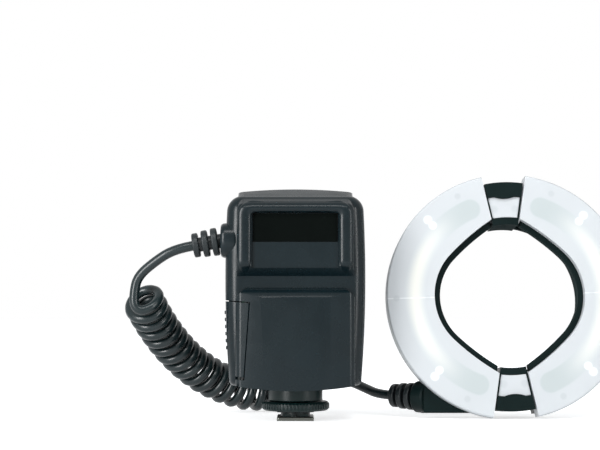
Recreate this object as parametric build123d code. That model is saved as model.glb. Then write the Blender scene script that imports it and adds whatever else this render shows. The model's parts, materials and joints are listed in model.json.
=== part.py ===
from build123d import *
import os
from math import atan2, cos, hypot, pi, radians, sin, sqrt, tan

# Macro ring flash: a control unit on a hot-shoe foot, a curly cord and a ring head.
# Millimetres. The origin is the centre of the foot's bottom face, +Z is up and the front is -Y.

# General values
overrun = 1.0
wall = 2.2
part_gap = 0.3
shaft_gap = 0.05
tiny_gap = 0.1

# Control unit casing
unit_half_width = 34.7
unit_widest_height = 82.0
unit_foot_half_width = 32.5
unit_shoulder_half_width = 33.6
unit_front = -26.5
unit_rear = 34.0
unit_split = 12.0
unit_bottom = 16.3
unit_bottom_corner = 18.6
unit_shoulder = 112.2
shoulder_radius = 8.0
bottom_corner_radius = 2.5
front_edge_radius = 7.0
rear_edge_radius = 8.0

# Hood over the window
hood_half_width = 28.8
hood_top = 116.1
hood_top_side = 114.3
hood_front = -31.0
hood_back = 16.0
hood_ridge = -12.0
hood_brow = 107.0
hood_base = 71.0
hood_slope = 6.0
hood_flat = 12.0
hood_radius = 3.2
recess_half_width = 21.0
recess_bottom = 76.0
recess_top = 103.1
recess_depth = 1.8
window_bottom = 88.7
window_thickness = 1.2

# Lower front panel
panel_half_width = 29.2
panel_front = -31.0
panel_bulge = 3.2
panel_top = 66.5
panel_shoulder_drop = 5.0
panel_radius = 3.6
panel_roll = 9.0

# Neck, lock wheel and foot
neck_radius = 13.8
neck_base = 9.8
wheel_radius = 17.2
wheel_low = 4.9
wheel_high = 9.4
wheel_bevel = 1.1
wheel_ridges = 60
ridge_depth = 0.35
stem_radius = 7.5
plate_thickness = 0.6
plate_low = 4.2
plate_half_width = 9.3
clamp_travel = 0.9
foot_half_width = 9.3
foot_half_length = 9.8
foot_thickness = 2.0
foot_edge_radius = 0.7
foot_block_half_width = 6.2
contact_recess = 0.8
contact_block_half_width = 4.6
contact_block_half_length = 5.2
contact_pin_radius = 1.1
small_pin_radius = 0.75
contact_spread = 3.1
contact_travel = 0.7
pin_lift = 0.1
lock_pin_radius = 0.7
lock_pin_place = -8.5

# Battery door, its pin and the bay
door_rear = 10.6
door_top = 59.0
door_travel = 1.2
door_bottom = 19.4
door_wall = 1.7
door_gap = 0.5
hinge_x = -25.6
hinge_y = -30.2
hinge_tilt = 4.7
knuckle_radius = 2.4
hinge_pin_radius = 0.9
rib_count = 6
rib_height = 0.7
rib_width = 1.7
rib_pitch = 3.5
rib_middle = 45.5
rib_length = 15.0
cell_radius = 7.1
cell_length = 49.5
cell_button_radius = 2.7
cell_button_length = 1.0
cell_pitch = 15.0
bay_front = -24.0
bay_low = 23.0
bay_wall = 1.2
magazine_wall = 0.9
bay_depth = 55.5
bay_mouth = -30.4

# Inner parts
board_thickness = 1.6
board_low = 22.0
board_high = 108.0
board_half_width = 28.0
board_place = 13.6
capacitor_radius = 8.2
capacitor_length = 46.0
capacitor_height = 93.0
capacitor_place = -10.5
transformer_size = 14.0
transformer_height = 70.5

# Rear face: display and keys
display_half_width = 21.0
display_low = 73.0
display_high = 103.0
display_depth = 1.4
module_thickness = 3.2
key_stand = 1.0
key_reach = 4.2
pad_height = 45.0
set_radius = 5.2
key_inner_radius = 6.4
key_outer_radius = 13.4
side_key_radius = 4.4
side_key_spread = 22.0
side_key_height = 63.0

# Socket and its cover on the right side
cover_low = 63.5
cover_high = 76.5
cover_front = -14.0
cover_rear = 0.0
cover_thickness = 1.5
cover_pin_radius = 0.4
cover_pin_length = 1.2
socket_radius = 4.0
socket_bore = 1.8
socket_length = 9.0

# Cord and its strain reliefs
cord_diameter = 5.0
boss_radius = 8.6
boss_height = 90.0
boss_place = -15.5
boss_end = -unit_half_width - 2.3
boss_root = -unit_half_width + 8.7
relief_tilt = 10.0
relief_radii = (7.0, 6.7, 6.1)
relief_rib = 3.1
relief_slot = 1.7
relief_core = 3.6
pin_overhang = 2.2
lug_height = 1.6
contact_clear = 0.4
capacitor_shift = 2.0
key_split = 0.45
sleeve_wall = 2.0
pin_roof = 0.9
boss_sink = 6.0
boss_edge_radius = 1.6

# Ring head, in its own frame: its face looks along -Y and its middle is the origin
ring_x = 109.7
ring_y = 14.0
ring_lean = 5.5
ring_roll = 1.7
head_radius = 63.0
head_front = -12.5
head_back = 13.0
skirt_back = -1.0
tub_back = 9.0
tub_radius = head_radius - 1.8
gap_angle = 10.5
opening_half_width = 35.3
opening_side_radius = 28.0
opening_long_radius = 120.0
lip_width = 3.2
lip_front = -8.5
lip_end_inset = 0.8
diffuser_wall = 1.6
diffuser_edge = 1.0
trough_inner = 43.5
trough_outer = head_radius - 9.5
trough_front = -8.8
trough_back = -2.6
trough_wall = 0.9
trough_angle = 71.0
post_angle = 3.0
slot_angle = 4.0
tube_radius = 2.0
board_inner = 46.0
board_outer = head_radius - 7.0
board_angle = 34.0
board_foot_angle = 27.2
rail_radius = 1.5
rail_place = 4.0
rail_height = head_radius - 13.0
rail_half = 26.0
base_radius = head_radius - 4.4
seat_radius = 38.5
inner_wall_radius = 37.0
window_inner = 40.7
window_outer = head_radius - 11.4
window_front = -10.6
cheek_width = 1.1
lamp_back = -7.6
led_spread = 5.0
led_radius = 45.0
led_size = 2.6
led_height = 0.8
cap_radius = head_radius - 4.0
cap_inset = 0.7
cap_sink = 0.3
thumb_radius = 14.0
thumb_inner = head_radius - 12.8
thumb_reach = 2.0
release_travel = 1.5
screw_ring = head_radius - 15.0
screw_turns = (45, 135, 225, 315)
screw_radius = 1.4
screw_head = 1.0
horn_mouth = tub_radius - 16.9
horn_tip = 18.0
horn_drop = tub_radius - 1.7
horn_height = 16.4
horn_front = -5.0
collar_radius = 8.1
collar_length = 3.0
collar_root = 4.0
collar_edge = 0.9
relief_rise = 4.0
post_radius = 1.8
post_spread = 25.0
post_inset = 5.0
relief_yaw = 35.0

# Cord routes: hand-chosen places from each strain relief to the coil, and the line of the coil
bend_share = 0.45
unit_route = [
    (-51.1812, -15.5, 87.4995),
    (-60.536, -15.5, 85.85),
    (-70.6, -13.6, 79.6),
    (-79.4, -11.2, 72.2),
]
coil_places = [(-78.0, -7.0, 62.5), (-70.0, 18.0, 40.0), (-50.0, 52.0, 5.2), (-2.0, 52.0, 10.9)]
coil_radius = 8.4
coil_turns = 18
coil_steps = 16
coil_fineness = 400
gap_samples = 60
ring_route = [
    (14.0, 52.5, 20.0),
    (22.5, 48.0, 18.5),
    (30.6, 41.4, 16.5),
    (37.6, 34.2, 13.6),
    (43.826, 26.287, 11.006),
    (51.1815, 21.1003, 10.8743),
]


def block(x_span, y_span, z_span):
    """A box between two places along each axis."""
    low = (x_span[0], y_span[0], z_span[0])
    size = (x_span[1] - x_span[0], y_span[1] - y_span[0], z_span[1] - z_span[0])
    return Pos(*low) * Box(*size, align=(Align.MIN, Align.MIN, Align.MIN))


def prism_y(sketch, y_front, y_back):
    """A profile drawn in X and Z, carried from y_front back to y_back."""
    return extrude(Plane.XZ.offset(-y_back) * sketch, y_back - y_front)


def prism_x(sketch, half_width):
    """A profile drawn in Y and Z, carried to both sides of the middle."""
    return extrude(Plane.YZ * sketch, half_width, both=True)


def prism_z(sketch, z_low, z_high):
    """A profile drawn in X and Y, carried from z_low up to z_high."""
    return extrude(Plane.XY.offset(z_low) * sketch, z_high - z_low)


def rod_y(radius, x, z, y_front, y_back):
    """A round rod along Y."""
    return prism_y(Pos(x, z) * Circle(radius), y_front, y_back)


def rod_z(radius, x, y, z_low, z_high):
    """A round rod along Z."""
    return prism_z(Pos(x, y) * Circle(radius), z_low, z_high)


def rod_x(radius, y, z, x_low, x_high):
    """A round rod along X."""
    return extrude(Plane.YZ.offset(x_low) * Pos(y, z) * Circle(radius), x_high - x_low)


def casing_outline(inset):
    """The casing seen from the front, drawn in by an inset: bowed sides, arched bottom."""
    low = unit_bottom_corner + inset
    high = unit_shoulder - inset
    foot_half = unit_foot_half_width - inset
    top_half = unit_shoulder_half_width - inset
    wide_half = unit_half_width - inset
    edges = [
        ThreePointArc((-foot_half, low), (0, unit_bottom + inset), (foot_half, low)),
        ThreePointArc((foot_half, low), (wide_half, unit_widest_height), (top_half, high)),
        Line((top_half, high), (-top_half, high)),
        ThreePointArc((-top_half, high), (-wide_half, unit_widest_height), (-foot_half, low)),
    ]
    face = make_face(edges)
    top_corners = face.vertices().group_by(Axis.Y)[-1]
    face = fillet(top_corners, shoulder_radius - inset)
    low_corners = face.vertices().sort_by(lambda v: hypot(abs(v.X) - foot_half, v.Y - low))[:2]
    return fillet(low_corners, bottom_corner_radius)


def barrel():
    """The main casing volume with its rounded front and rear edges."""
    solid = prism_y(casing_outline(0), unit_front, unit_rear)
    solid = fillet(solid.faces().sort_by(Axis.Y)[0].edges(), front_edge_radius)
    return fillet(solid.faces().sort_by(Axis.Y)[-1].edges(), rear_edge_radius)


def hood():
    """The raised hood: a bevel slopes from its ridge down to a rounded brow over the window."""
    side = Polyline(
        (unit_front + overrun, hood_base),
        (hood_front, hood_base + hood_slope),
        (hood_front, hood_brow),
        (hood_ridge, hood_top),
        (hood_ridge + hood_flat, hood_top),
        (hood_back, unit_shoulder - overrun),
        (hood_back, hood_base),
        (unit_front + overrun, hood_base),
    )
    solid = prism_x(make_face(side), hood_half_width)
    front = [
        Line((-hood_half_width, hood_base), (hood_half_width, hood_base)),
        Line((hood_half_width, hood_base), (hood_half_width, hood_top_side)),
        ThreePointArc((hood_half_width, hood_top_side), (0, hood_top), (-hood_half_width, hood_top_side)),
        Line((-hood_half_width, hood_top_side), (-hood_half_width, hood_base)),
    ]
    solid = solid & prism_y(make_face(front), hood_front, hood_back)
    brow = solid.edges().filter_by(Axis.X).sort_by_distance((0, hood_front, hood_brow))[:1]
    solid = fillet(brow, hood_radius)
    posts = solid.faces().sort_by(Axis.Y)[0].edges().filter_by(Axis.Z)
    return fillet(posts, hood_radius)


def lower_panel():
    """The bulging lower front panel: bowed in plan, its top rolling back into the waist."""
    nose = panel_front - panel_bulge
    plan = [
        Line((-panel_half_width, 0), (-panel_half_width, panel_front)),
        ThreePointArc((-panel_half_width, panel_front), (0, nose), (panel_half_width, panel_front)),
        Line((panel_half_width, panel_front), (panel_half_width, 0)),
        Line((panel_half_width, 0), (-panel_half_width, 0)),
    ]
    plan_face = make_face(plan)
    plan_face = fillet(plan_face.vertices().group_by(Axis.Y)[0], panel_radius)
    solid = prism_z(plan_face, unit_bottom, panel_top)
    top_half = panel_half_width - panel_shoulder_drop
    shoulder = panel_top - panel_shoulder_drop
    front = [
        ThreePointArc((-panel_half_width, unit_bottom_corner), (0, unit_bottom),
                      (panel_half_width, unit_bottom_corner)),
        Line((panel_half_width, unit_bottom_corner), (panel_half_width, shoulder)),
        Line((panel_half_width, shoulder), (top_half, panel_top)),
        Line((top_half, panel_top), (-top_half, panel_top)),
        Line((-top_half, panel_top), (-panel_half_width, shoulder)),
        Line((-panel_half_width, shoulder), (-panel_half_width, unit_bottom_corner)),
    ]
    roll_end = panel_top - panel_roll
    side = [
        Line((0, unit_bottom), (nose, unit_bottom)),
        Line((nose, unit_bottom), (nose, roll_end)),
        TangentArc((nose, roll_end), (unit_front + overrun, panel_top), tangent=(0, 1)),
        Line((unit_front + overrun, panel_top), (0, panel_top)),
        Line((0, panel_top), (0, unit_bottom)),
    ]
    return solid & prism_y(make_face(front), nose, 0) & prism_x(make_face(side), panel_half_width)


def casing_solid():
    """The outer form of both casing shells in one."""
    solid = barrel() + hood() + lower_panel()
    recess = block((-recess_half_width, recess_half_width), (hood_front - overrun, hood_front + recess_depth),
                   (recess_bottom, recess_top))
    return solid - recess


def casing_hollow():
    """The space inside the shells."""
    solid = prism_y(casing_outline(wall + part_gap), unit_front + wall, unit_rear - wall)
    return fillet(solid.faces().sort_by(Axis.Y)[-1].edges(), rear_edge_radius - wall)


def hinge_frame():
    """The door's hinge line: it leans with the casing's front corner."""
    return Pos(hinge_x, hinge_y, (door_top + door_bottom) / 2) * Rot(0, hinge_tilt, 0)


def hinge_rod(radius, z_low, z_high):
    """A rod on the hinge line, between two distances from the line's middle."""
    return hinge_frame() * rod_z(radius, 0, 0, z_low, z_high)


def door_cutter(grow):
    """The slab that the door takes out of the casing: from the hinge line round the corner to the side."""
    half = (door_top - door_bottom) / 2
    front_y = hinge_y - knuckle_radius - 2 * overrun
    depth = (front_y - hinge_y, door_rear - hinge_y + grow)
    return hinge_frame() * block((-unit_half_width, 0), depth, (-2 * half, half + grow))


def casing_core(depth):
    """What lies deeper than a depth under the barrel and under the lower panel."""
    solid = prism_y(casing_outline(depth), unit_front + depth, unit_rear)
    solid = fillet(solid.faces().sort_by(Axis.Y)[0].edges(), front_edge_radius - depth)
    half = panel_half_width - depth
    behind_panel = block((-half, half), (panel_front + depth, 0), (unit_bottom + depth, panel_top))
    return solid + (behind_panel & prism_y(casing_outline(depth), 2 * panel_front, 0))


def door_skin(depth, solid):
    """What lies between the outside and a depth under it."""
    return solid - casing_core(depth)


def build_casing():
    """Both shells, the door, and what is cut for the window, keys, door and sockets."""
    outside = casing_solid()
    hollow = casing_hollow()
    shell = outside - hollow
    door = door_skin(door_wall, outside & door_cutter(0))
    around = prism_y(casing_outline(-overrun), panel_front - 2 * panel_bulge, unit_rear)
    shell = shell - (door_cutter(door_gap) & around)
    return outside, shell, door


def build_shells(outside, shell, keys_cut):
    """Front and rear shells with their openings."""
    front = shell & block((-unit_half_width - overrun, unit_half_width + overrun),
                          (panel_front - 2 * panel_bulge, unit_split), (0, hood_top + overrun))
    rear = shell & block((-unit_half_width - overrun, unit_half_width + overrun),
                         (unit_split, unit_rear + overrun), (0, hood_top + overrun))
    boss_hole = rod_x(boss_radius - wall, boss_place, boss_height, -unit_half_width - overrun, 0)
    low = knuckle_low() - door_travel - part_gap
    front = front - boss_hole - hinge_rod(knuckle_radius + door_gap, low, hinge_half() + door_gap)
    front = front + (hinge_lug() & outside)
    pin_reach = hinge_half() + pin_overhang
    front = front - hinge_rod(hinge_pin_radius + shaft_gap, -pin_reach, pin_reach + door_gap)
    front = front - cover_pocket() - cover_pin(shaft_gap, part_gap)
    front = front - socket_hole() - neck_hole() - bay_space(part_gap)
    window_seat = block((-recess_half_width, recess_half_width),
                        (hood_front, hood_front + recess_depth + window_thickness),
                        (window_bottom, recess_top))
    front = front - window_seat
    rear = rear - keys_cut - display_hole() - neck_hole()
    for x in (-post_spread, post_spread):
        for z in (board_low + post_inset, board_high - post_inset):
            post_start = board_place + board_thickness + tiny_gap
            rear = rear + rod_y(post_radius, x, z, post_start, unit_rear - wall + tiny_gap)
        front = front + capacitor_cradle(x / 2)
    return front, rear


def hinge_half():
    """Half the length of the door's knuckle."""
    return (door_top - door_bottom) / 2


def knuckle_low():
    """Where the knuckle starts, over the lug and the door's travel."""
    return lug_top() + door_travel + part_gap


def lug_top():
    """The top of the corner that holds the pin's lower end."""
    return -hinge_half() + door_gap + lug_height


def hinge_lug():
    """The rounded corner under the knuckle that holds the pin's lower end."""
    return hinge_rod(knuckle_radius, -2 * hinge_half(), lug_top())


def bay_space(gap):
    """The room that the battery bay takes."""
    size = 2 * cell_pitch + 2 * (magazine_wall + part_gap + bay_wall + gap)
    low = bay_low - gap
    front = bay_front - gap
    return block((bay_mouth - gap, bay_mouth + bay_depth + gap), (front, front + size), (low, low + size))


def build_bay():
    """The moulded battery bay, open towards the door."""
    outer = bay_space(0)
    size = 2 * cell_pitch + 2 * (magazine_wall + part_gap)
    front = bay_front + bay_wall
    low = bay_low + bay_wall
    length = (bay_mouth - overrun, bay_mouth + bay_depth - bay_wall)
    room = block(length, (front, front + size), (low, low + size))
    return outer - room


def cell_places():
    """The middles of the four cells in Y and Z."""
    middle_y = bay_front + bay_wall + part_gap + magazine_wall + cell_pitch
    middle_z = bay_low + bay_wall + part_gap + magazine_wall + cell_pitch
    half = cell_pitch / 2
    return [(middle_y + sy * half, middle_z + sz * half) for sy in (-1, 1) for sz in (-1, 1)]


def build_magazine():
    """The magazine: a block bored for four cells, open at both ends."""
    half = cell_pitch + magazine_wall
    middle_y = bay_front + bay_wall + part_gap + half
    middle_z = bay_low + bay_wall + part_gap + half
    low_x = bay_mouth + part_gap
    high_x = low_x + cell_length + cell_button_length
    body = block((low_x, high_x), (middle_y - half, middle_y + half), (middle_z - half, middle_z + half))
    body = fillet(body.edges().filter_by(Axis.X), magazine_wall)
    for y, z in cell_places():
        body = body - rod_x(cell_radius + tiny_gap, y, z, low_x - overrun, high_x + overrun)
    return body


def build_cells():
    """Four cells with their raised ends, set alternately."""
    cells = []
    low_x = bay_mouth + part_gap + tiny_gap
    for index, (y, z) in enumerate(cell_places()):
        flip = index in (1, 2)
        start = low_x if flip else low_x + cell_button_length
        can = rod_x(cell_radius, y, z, start, start + cell_length - cell_button_length)
        button_low = start + cell_length - cell_button_length if flip else low_x
        button = rod_x(cell_button_radius, y, z, button_low, button_low + cell_button_length)
        cells.append(can + button)
    return Compound(children=cells)


def build_contacts():
    """The bay's contact strips at its closed end, one for each pair of cells."""
    places = cell_places()
    far = bay_mouth + bay_depth - bay_wall
    low_x = bay_mouth + part_gap + cell_length + cell_button_length + contact_clear
    strips = []
    for y, z in places:
        strips.append(block((low_x, far - tiny_gap), (y - cell_button_radius, y + cell_button_radius),
                            (z - cell_button_radius, z + cell_button_radius)))
    return Compound(children=strips)


def build_door(outside, door):
    """The door with its grip ribs and the knuckle round its pin, clear of the bay and the lug."""
    half = hinge_half()
    for lift in (0, door_travel):
        door = door - Pos(0, 0, lift) * bay_space(part_gap)
    door = door - hinge_rod(knuckle_radius + door_gap, -2 * half, knuckle_low())
    raised = prism_y(casing_outline(-rib_height), panel_front, door_rear)
    raised = raised - prism_y(casing_outline(wall / 2), panel_front, door_rear)
    for index in range(rib_count):
        z = rib_middle + (index - (rib_count - 1) / 2) * rib_pitch
        middle_y = (hinge_y + door_rear) / 2
        rib = block((-unit_half_width - rib_height, -unit_half_width + wall),
                    (middle_y - rib_length / 2, middle_y + rib_length / 2),
                    (z - rib_width / 2, z + rib_width / 2))
        rib = rib & raised
        door = door + fillet(rib.edges().filter_by(Axis.Y).group_by(Axis.X)[0], rib_height / 3)
    knuckle = hinge_rod(knuckle_radius, knuckle_low(), half) & outside
    bore = hinge_rod(hinge_pin_radius + shaft_gap, -half - overrun, half + overrun)
    return door + knuckle - bore


def build_hinge_pin():
    """The door's steel pin, which runs in the lugs over and under the door."""
    high = hinge_half() + door_gap + pin_overhang - part_gap
    return hinge_rod(hinge_pin_radius, -hinge_half() + part_gap, high)


def build_inner_parts():
    """Main board, flash capacitor and step-up transformer."""
    board = block((-board_half_width, board_half_width), (board_place, board_place + board_thickness),
                  (board_low, board_high))
    middle = -capacitor_length / 2 + capacitor_shift
    tank = rod_x(capacitor_radius, capacitor_place, capacitor_height, middle, middle + capacitor_length)
    tank = fillet(tank.edges().filter_by(GeomType.CIRCLE), magazine_wall)
    half = transformer_size / 2
    front = board_place - transformer_size - part_gap
    core = block((-half, half), (front, front + transformer_size),
                 (transformer_height - half, transformer_height + half))
    core = chamfer(core.edges().filter_by(Axis.Y), magazine_wall)
    return board, tank, core


def capacitor_cradle(x):
    """A rib inside the front wall, hollowed to take the flash capacitor."""
    rib = block((x - wall / 2, x + wall / 2), (unit_front + wall - tiny_gap, capacitor_place),
                (capacitor_height - capacitor_radius, capacitor_height + capacitor_radius))
    return rib - rod_x(capacitor_radius + tiny_gap, capacitor_place, capacitor_height, x - wall, x + wall)


def display_hole():
    """The stepped opening for the display window."""
    half = display_half_width + part_gap
    return block((-half, half), (unit_rear - wall - overrun, unit_rear + overrun),
                 (display_low - part_gap, display_high + part_gap))


def build_display():
    """The display window and the module behind it."""
    face = unit_rear
    width = (-display_half_width, display_half_width)
    window = block(width, (face - display_depth, face), (display_low, display_high))
    window = fillet(window.edges().filter_by(Axis.Y), magazine_wall)
    back = face - display_depth - tiny_gap
    module = block(width, (back - module_thickness, back), (display_low, display_high))
    return window, module


def key_profile(name, grow):
    """The outline of one rear key."""
    if name == "set":
        return Pos(0, pad_height) * Circle(set_radius + grow)
    if name in ("power", "pilot"):
        side = -1 if name == "pilot" else 1
        return Pos(side * side_key_spread, side_key_height) * Circle(side_key_radius + grow)
    turn = {"right": 0, "up": 90, "left": 180, "down": 270}[name]
    ring = Circle(key_outer_radius + grow) - Circle(key_inner_radius - grow)
    reach = 2 * key_outer_radius
    wedge = Polyline((0, 0), (reach, reach), (reach, -reach), (0, 0))
    inset = Pos((key_split - grow) * sqrt(2), 0) * make_face(wedge)
    return Pos(0, pad_height) * Rot(0, 0, turn) * (ring & inset)


key_names = ("set", "up", "down", "left", "right", "power", "pilot")


def build_keys():
    """The rear keys, each a stub that stands out of its hole."""
    keys = {}
    cuts = None
    for name in key_names:
        key = prism_y(key_profile(name, 0), unit_rear - key_reach, unit_rear + key_stand)
        keys[name] = fillet(key.faces().sort_by(Axis.Y)[-1].edges(), key_stand / 2)
        hole = prism_y(key_profile(name, part_gap), unit_rear - wall - overrun, unit_rear + overrun)
        cuts = hole if cuts is None else cuts + hole
    return keys, cuts


def cover_pocket():
    """The shallow pocket in the right side that the socket cover fills."""
    half = unit_half_width + overrun
    pocket = block((0, half), (cover_front - part_gap, cover_rear + door_gap),
                   (cover_low - part_gap, cover_high + part_gap))
    return pocket - prism_y(casing_outline(cover_thickness + part_gap), unit_front, unit_rear)


def cover_knuckle_radius():
    """The cover's rear edge is a full round of its own thickness."""
    return cover_thickness / 2


def cover_axis():
    """The socket cover's hinge line in X and Y: the middle of its round rear edge."""
    return unit_half_width - tiny_gap - cover_knuckle_radius(), cover_rear - cover_knuckle_radius()


def cover_pin(grow, end_gap):
    """The moulded pins at both ends of the cover's round edge, or the holes that they turn in."""
    x, y = cover_axis()
    reach = cover_pin_length + end_gap
    return rod_z(cover_pin_radius + grow, x, y, cover_low - reach, cover_high + reach)


def build_cover():
    """The socket cover: a flap that follows the casing's side, round and pinned at its rear edge."""
    x, y = cover_axis()
    flap = block((0, unit_half_width + overrun), (cover_front, y), (cover_low, cover_high))
    skin = prism_y(casing_outline(0), unit_front, unit_rear)
    skin = skin - prism_y(casing_outline(cover_thickness), unit_front, unit_rear)
    knuckle = rod_z(cover_knuckle_radius(), x, y, cover_low, cover_high)
    return (flap & skin) + knuckle + cover_pin(0, 0)


def socket_hole():
    """The hole behind the cover for the socket."""
    middle_y = (cover_front + cover_rear) / 2
    middle_z = (cover_low + cover_high) / 2
    return rod_x(socket_radius + tiny_gap, middle_y, middle_z, 0, unit_half_width)


def build_socket():
    """The flash socket under the cover."""
    middle_y = (cover_front + cover_rear) / 2
    middle_z = (cover_low + cover_high) / 2
    end = unit_half_width - cover_thickness - 2 * part_gap
    body = rod_x(socket_radius, middle_y, middle_z, end - socket_length, end)
    flange = rod_x(socket_radius + wall / 2, middle_y, middle_z, end - socket_length, end - 2 * wall)
    bore = rod_x(socket_bore, middle_y, middle_z, end - socket_length + wall, end + overrun)
    return body + flange - bore


def neck_hole():
    """The round opening in the casing's bottom for the neck."""
    return rod_z(neck_radius - wall + part_gap, 0, 0, 0, unit_bottom + 2 * wall + panel_roll / 2)


def build_foot():
    """Neck, lock wheel, pressure plate, foot plate, contact block and pins."""
    parts = {}
    neck = rod_z(neck_radius, 0, 0, neck_base, unit_bottom_corner)
    neck = neck & prism_y(neck_profile(), -neck_radius, neck_radius)
    spigot = rod_z(neck_radius - wall, 0, 0, neck_base, unit_bottom + 2 * wall)
    neck = neck + spigot
    stem_hole = rod_z(stem_radius + tiny_gap, 0, 0, 0, 2 * unit_bottom_corner)
    parts["neck_collar"] = neck - stem_hole

    plate = Rectangle(2 * foot_half_width, 2 * foot_half_length)
    plate = fillet(plate.vertices(), foot_edge_radius + part_gap)
    foot = prism_z(plate, 0, foot_thickness)
    foot = fillet(foot.faces().sort_by(Axis.Z)[-1].edges(), foot_edge_radius)
    block_front = lock_pin_place + 2 * lock_pin_radius
    foot = foot + block((-foot_block_half_width, foot_block_half_width),
                        (block_front, foot_half_length - foot_edge_radius),
                        (0, plate_low - clamp_travel))
    foot = foot + rod_z(stem_radius, 0, 0, foot_thickness, unit_bottom + wall)
    well = block((-contact_block_half_width - part_gap, contact_block_half_width + part_gap),
                 (-contact_block_half_length - part_gap, contact_block_half_length + part_gap),
                 (-overrun, plate_low + wall))
    lock_hole = rod_z(lock_pin_radius + shaft_gap, 0, lock_pin_place, -overrun, plate_low + overrun)
    parts["shoe_foot"] = foot - well - lock_hole

    low = contact_recess
    high = plate_low + wall - part_gap
    insulator = block((-contact_block_half_width, contact_block_half_width),
                      (-contact_block_half_length, contact_block_half_length), (low, high))
    insulator = chamfer(insulator.faces().sort_by(Axis.Z)[0].edges(), part_gap)
    for name, (x, y) in pin_places().items():
        radius = contact_pin_radius if name == "centre" else small_pin_radius
        insulator = insulator - rod_z(radius + shaft_gap, x, y, 0, high - pin_roof)
        pin = rod_z(radius, x, y, pin_lift, high - pin_roof - contact_travel - part_gap)
        parts[name + "_contact_pin"] = fillet(pin.faces().sort_by(Axis.Z)[0].edges(), radius / 2)
    parts["contact_block"] = insulator

    pressure = Rectangle(2 * plate_half_width, 2 * foot_half_length)
    pressure = fillet(pressure.vertices(), foot_thickness)
    pressure = prism_z(pressure, plate_low + tiny_gap, plate_low + tiny_gap + plate_thickness)
    sleeve_low = plate_low + tiny_gap
    sleeve = rod_z(stem_radius + sleeve_wall, 0, 0, sleeve_low, wheel_high)
    pressure = pressure + sleeve - rod_z(stem_radius + shaft_gap, 0, 0, 0, 2 * unit_bottom)
    pin_height = plate_low + tiny_gap + plate_thickness / 2
    lock_pin = rod_z(lock_pin_radius, 0, lock_pin_place, pin_lift, pin_height)
    parts["pressure_plate"] = pressure - rod_z(lock_pin_radius, 0, lock_pin_place, 0, pin_height)
    parts["lock_pin"] = fillet(lock_pin.faces().sort_by(Axis.Z)[0].edges(), lock_pin_radius / 2)

    disc = rod_z(wheel_radius, 0, 0, wheel_low, wheel_high)
    disc = chamfer(disc.edges().filter_by(GeomType.CIRCLE), wheel_bevel)
    groove_end = ridge_depth + overrun
    groove = Polyline((0, -groove_half()), (groove_end, -groove_half()), (groove_end, groove_half()),
                      (0, groove_half()), (0, -groove_half()))
    groove = Pos(wheel_radius - ridge_depth, 0) * make_face(groove)
    grooves = Sketch() + [Rot(0, 0, 360 * index / wheel_ridges) * groove for index in range(wheel_ridges)]
    disc = disc - prism_z(grooves, wheel_low, wheel_high)
    parts["lock_wheel"] = disc - rod_z(stem_radius + sleeve_wall + shaft_gap, 0, 0, 0, 2 * unit_bottom)
    return parts


def groove_half():
    """Half the width of a groove between two ridges of the lock wheel."""
    return pi * wheel_radius / wheel_ridges / 2


def neck_profile():
    """The neck seen from the front, its top arched like the casing's bottom."""
    half = neck_radius
    top = unit_bottom
    return make_face(Polyline((-half, neck_base), (half, neck_base), (half, top), (-half, top),
                              (-half, neck_base)))


def pin_places():
    """The contact pins' middles: one in the centre and three about it."""
    spread = contact_spread
    return {"centre": (0, 0), "front": (spread, -spread), "left": (-spread, spread),
            "right": (spread, spread)}


def build_relief(frame):
    """A ribbed strain relief along its frame's Z, largest rib first, with bridges between its ribs."""
    reach = 0
    core_length = len(relief_radii) * (relief_rib + relief_slot)
    solid = Cylinder(relief_core, core_length, align=(Align.CENTER, Align.CENTER, Align.MIN))
    for radius in relief_radii:
        reach = reach + relief_slot
        rib = Pos(0, 0, reach) * Cylinder(radius, relief_rib, align=(Align.CENTER, Align.CENTER, Align.MIN))
        solid = solid + fillet(rib.edges().filter_by(GeomType.CIRCLE), relief_rib / 4)
        reach = reach + relief_rib
    return frame * solid


def relief_length():
    """How long a strain relief is."""
    return len(relief_radii) * (relief_rib + relief_slot)


def unit_relief_frame():
    """Where the unit's strain relief starts: on the boss, leaning down and outwards."""
    return Pos(boss_end, boss_place, boss_height) * Rot(0, -90 - relief_tilt, 0)


def build_boss():
    """The round boss on the casing's side that the cord comes out of."""
    boss = rod_x(boss_radius, boss_place, boss_height, boss_end, -unit_half_width + boss_sink)
    boss = fillet(boss.faces().sort_by(Axis.X)[0].edges(), boss_edge_radius)
    spigot = rod_x(boss_radius - wall - part_gap, boss_place, boss_height, -unit_half_width, boss_root)
    return boss, spigot


def diamond(offset):
    """The rounded-diamond opening: four round sides joined by four shallow arcs, each tangent."""
    side = opening_side_radius + offset
    long = opening_long_radius + offset
    middle_x = opening_half_width - opening_side_radius
    join = (middle_x + opening_side_radius * cos(pi / 4), opening_side_radius * sin(pi / 4))
    far = (join[0] - opening_long_radius * cos(pi / 4), join[1] - opening_long_radius * sin(pi / 4))
    top = far[1] + sqrt(long**2 - far[0] ** 2)
    turn = (atan2(top - far[1], -far[0]) + pi / 4) / 2
    joint = (middle_x + side * cos(pi / 4), side * sin(pi / 4))
    between = (far[0] + long * cos(turn), far[1] + long * sin(turn))
    edges = []
    for sign_x, sign_z in ((1, 1), (1, -1), (-1, 1), (-1, -1)):
        start = (sign_x * joint[0], sign_z * joint[1])
        edges.append(ThreePointArc(start, (sign_x * between[0], sign_z * between[1]), (0, sign_z * top)))
    for sign_x in (1, -1):
        ends = [(sign_x * joint[0], sign_z * joint[1]) for sign_z in (1, -1)]
        edges.append(ThreePointArc(ends[0], (sign_x * (middle_x + side), 0), ends[1]))
    return make_face(edges)


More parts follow.
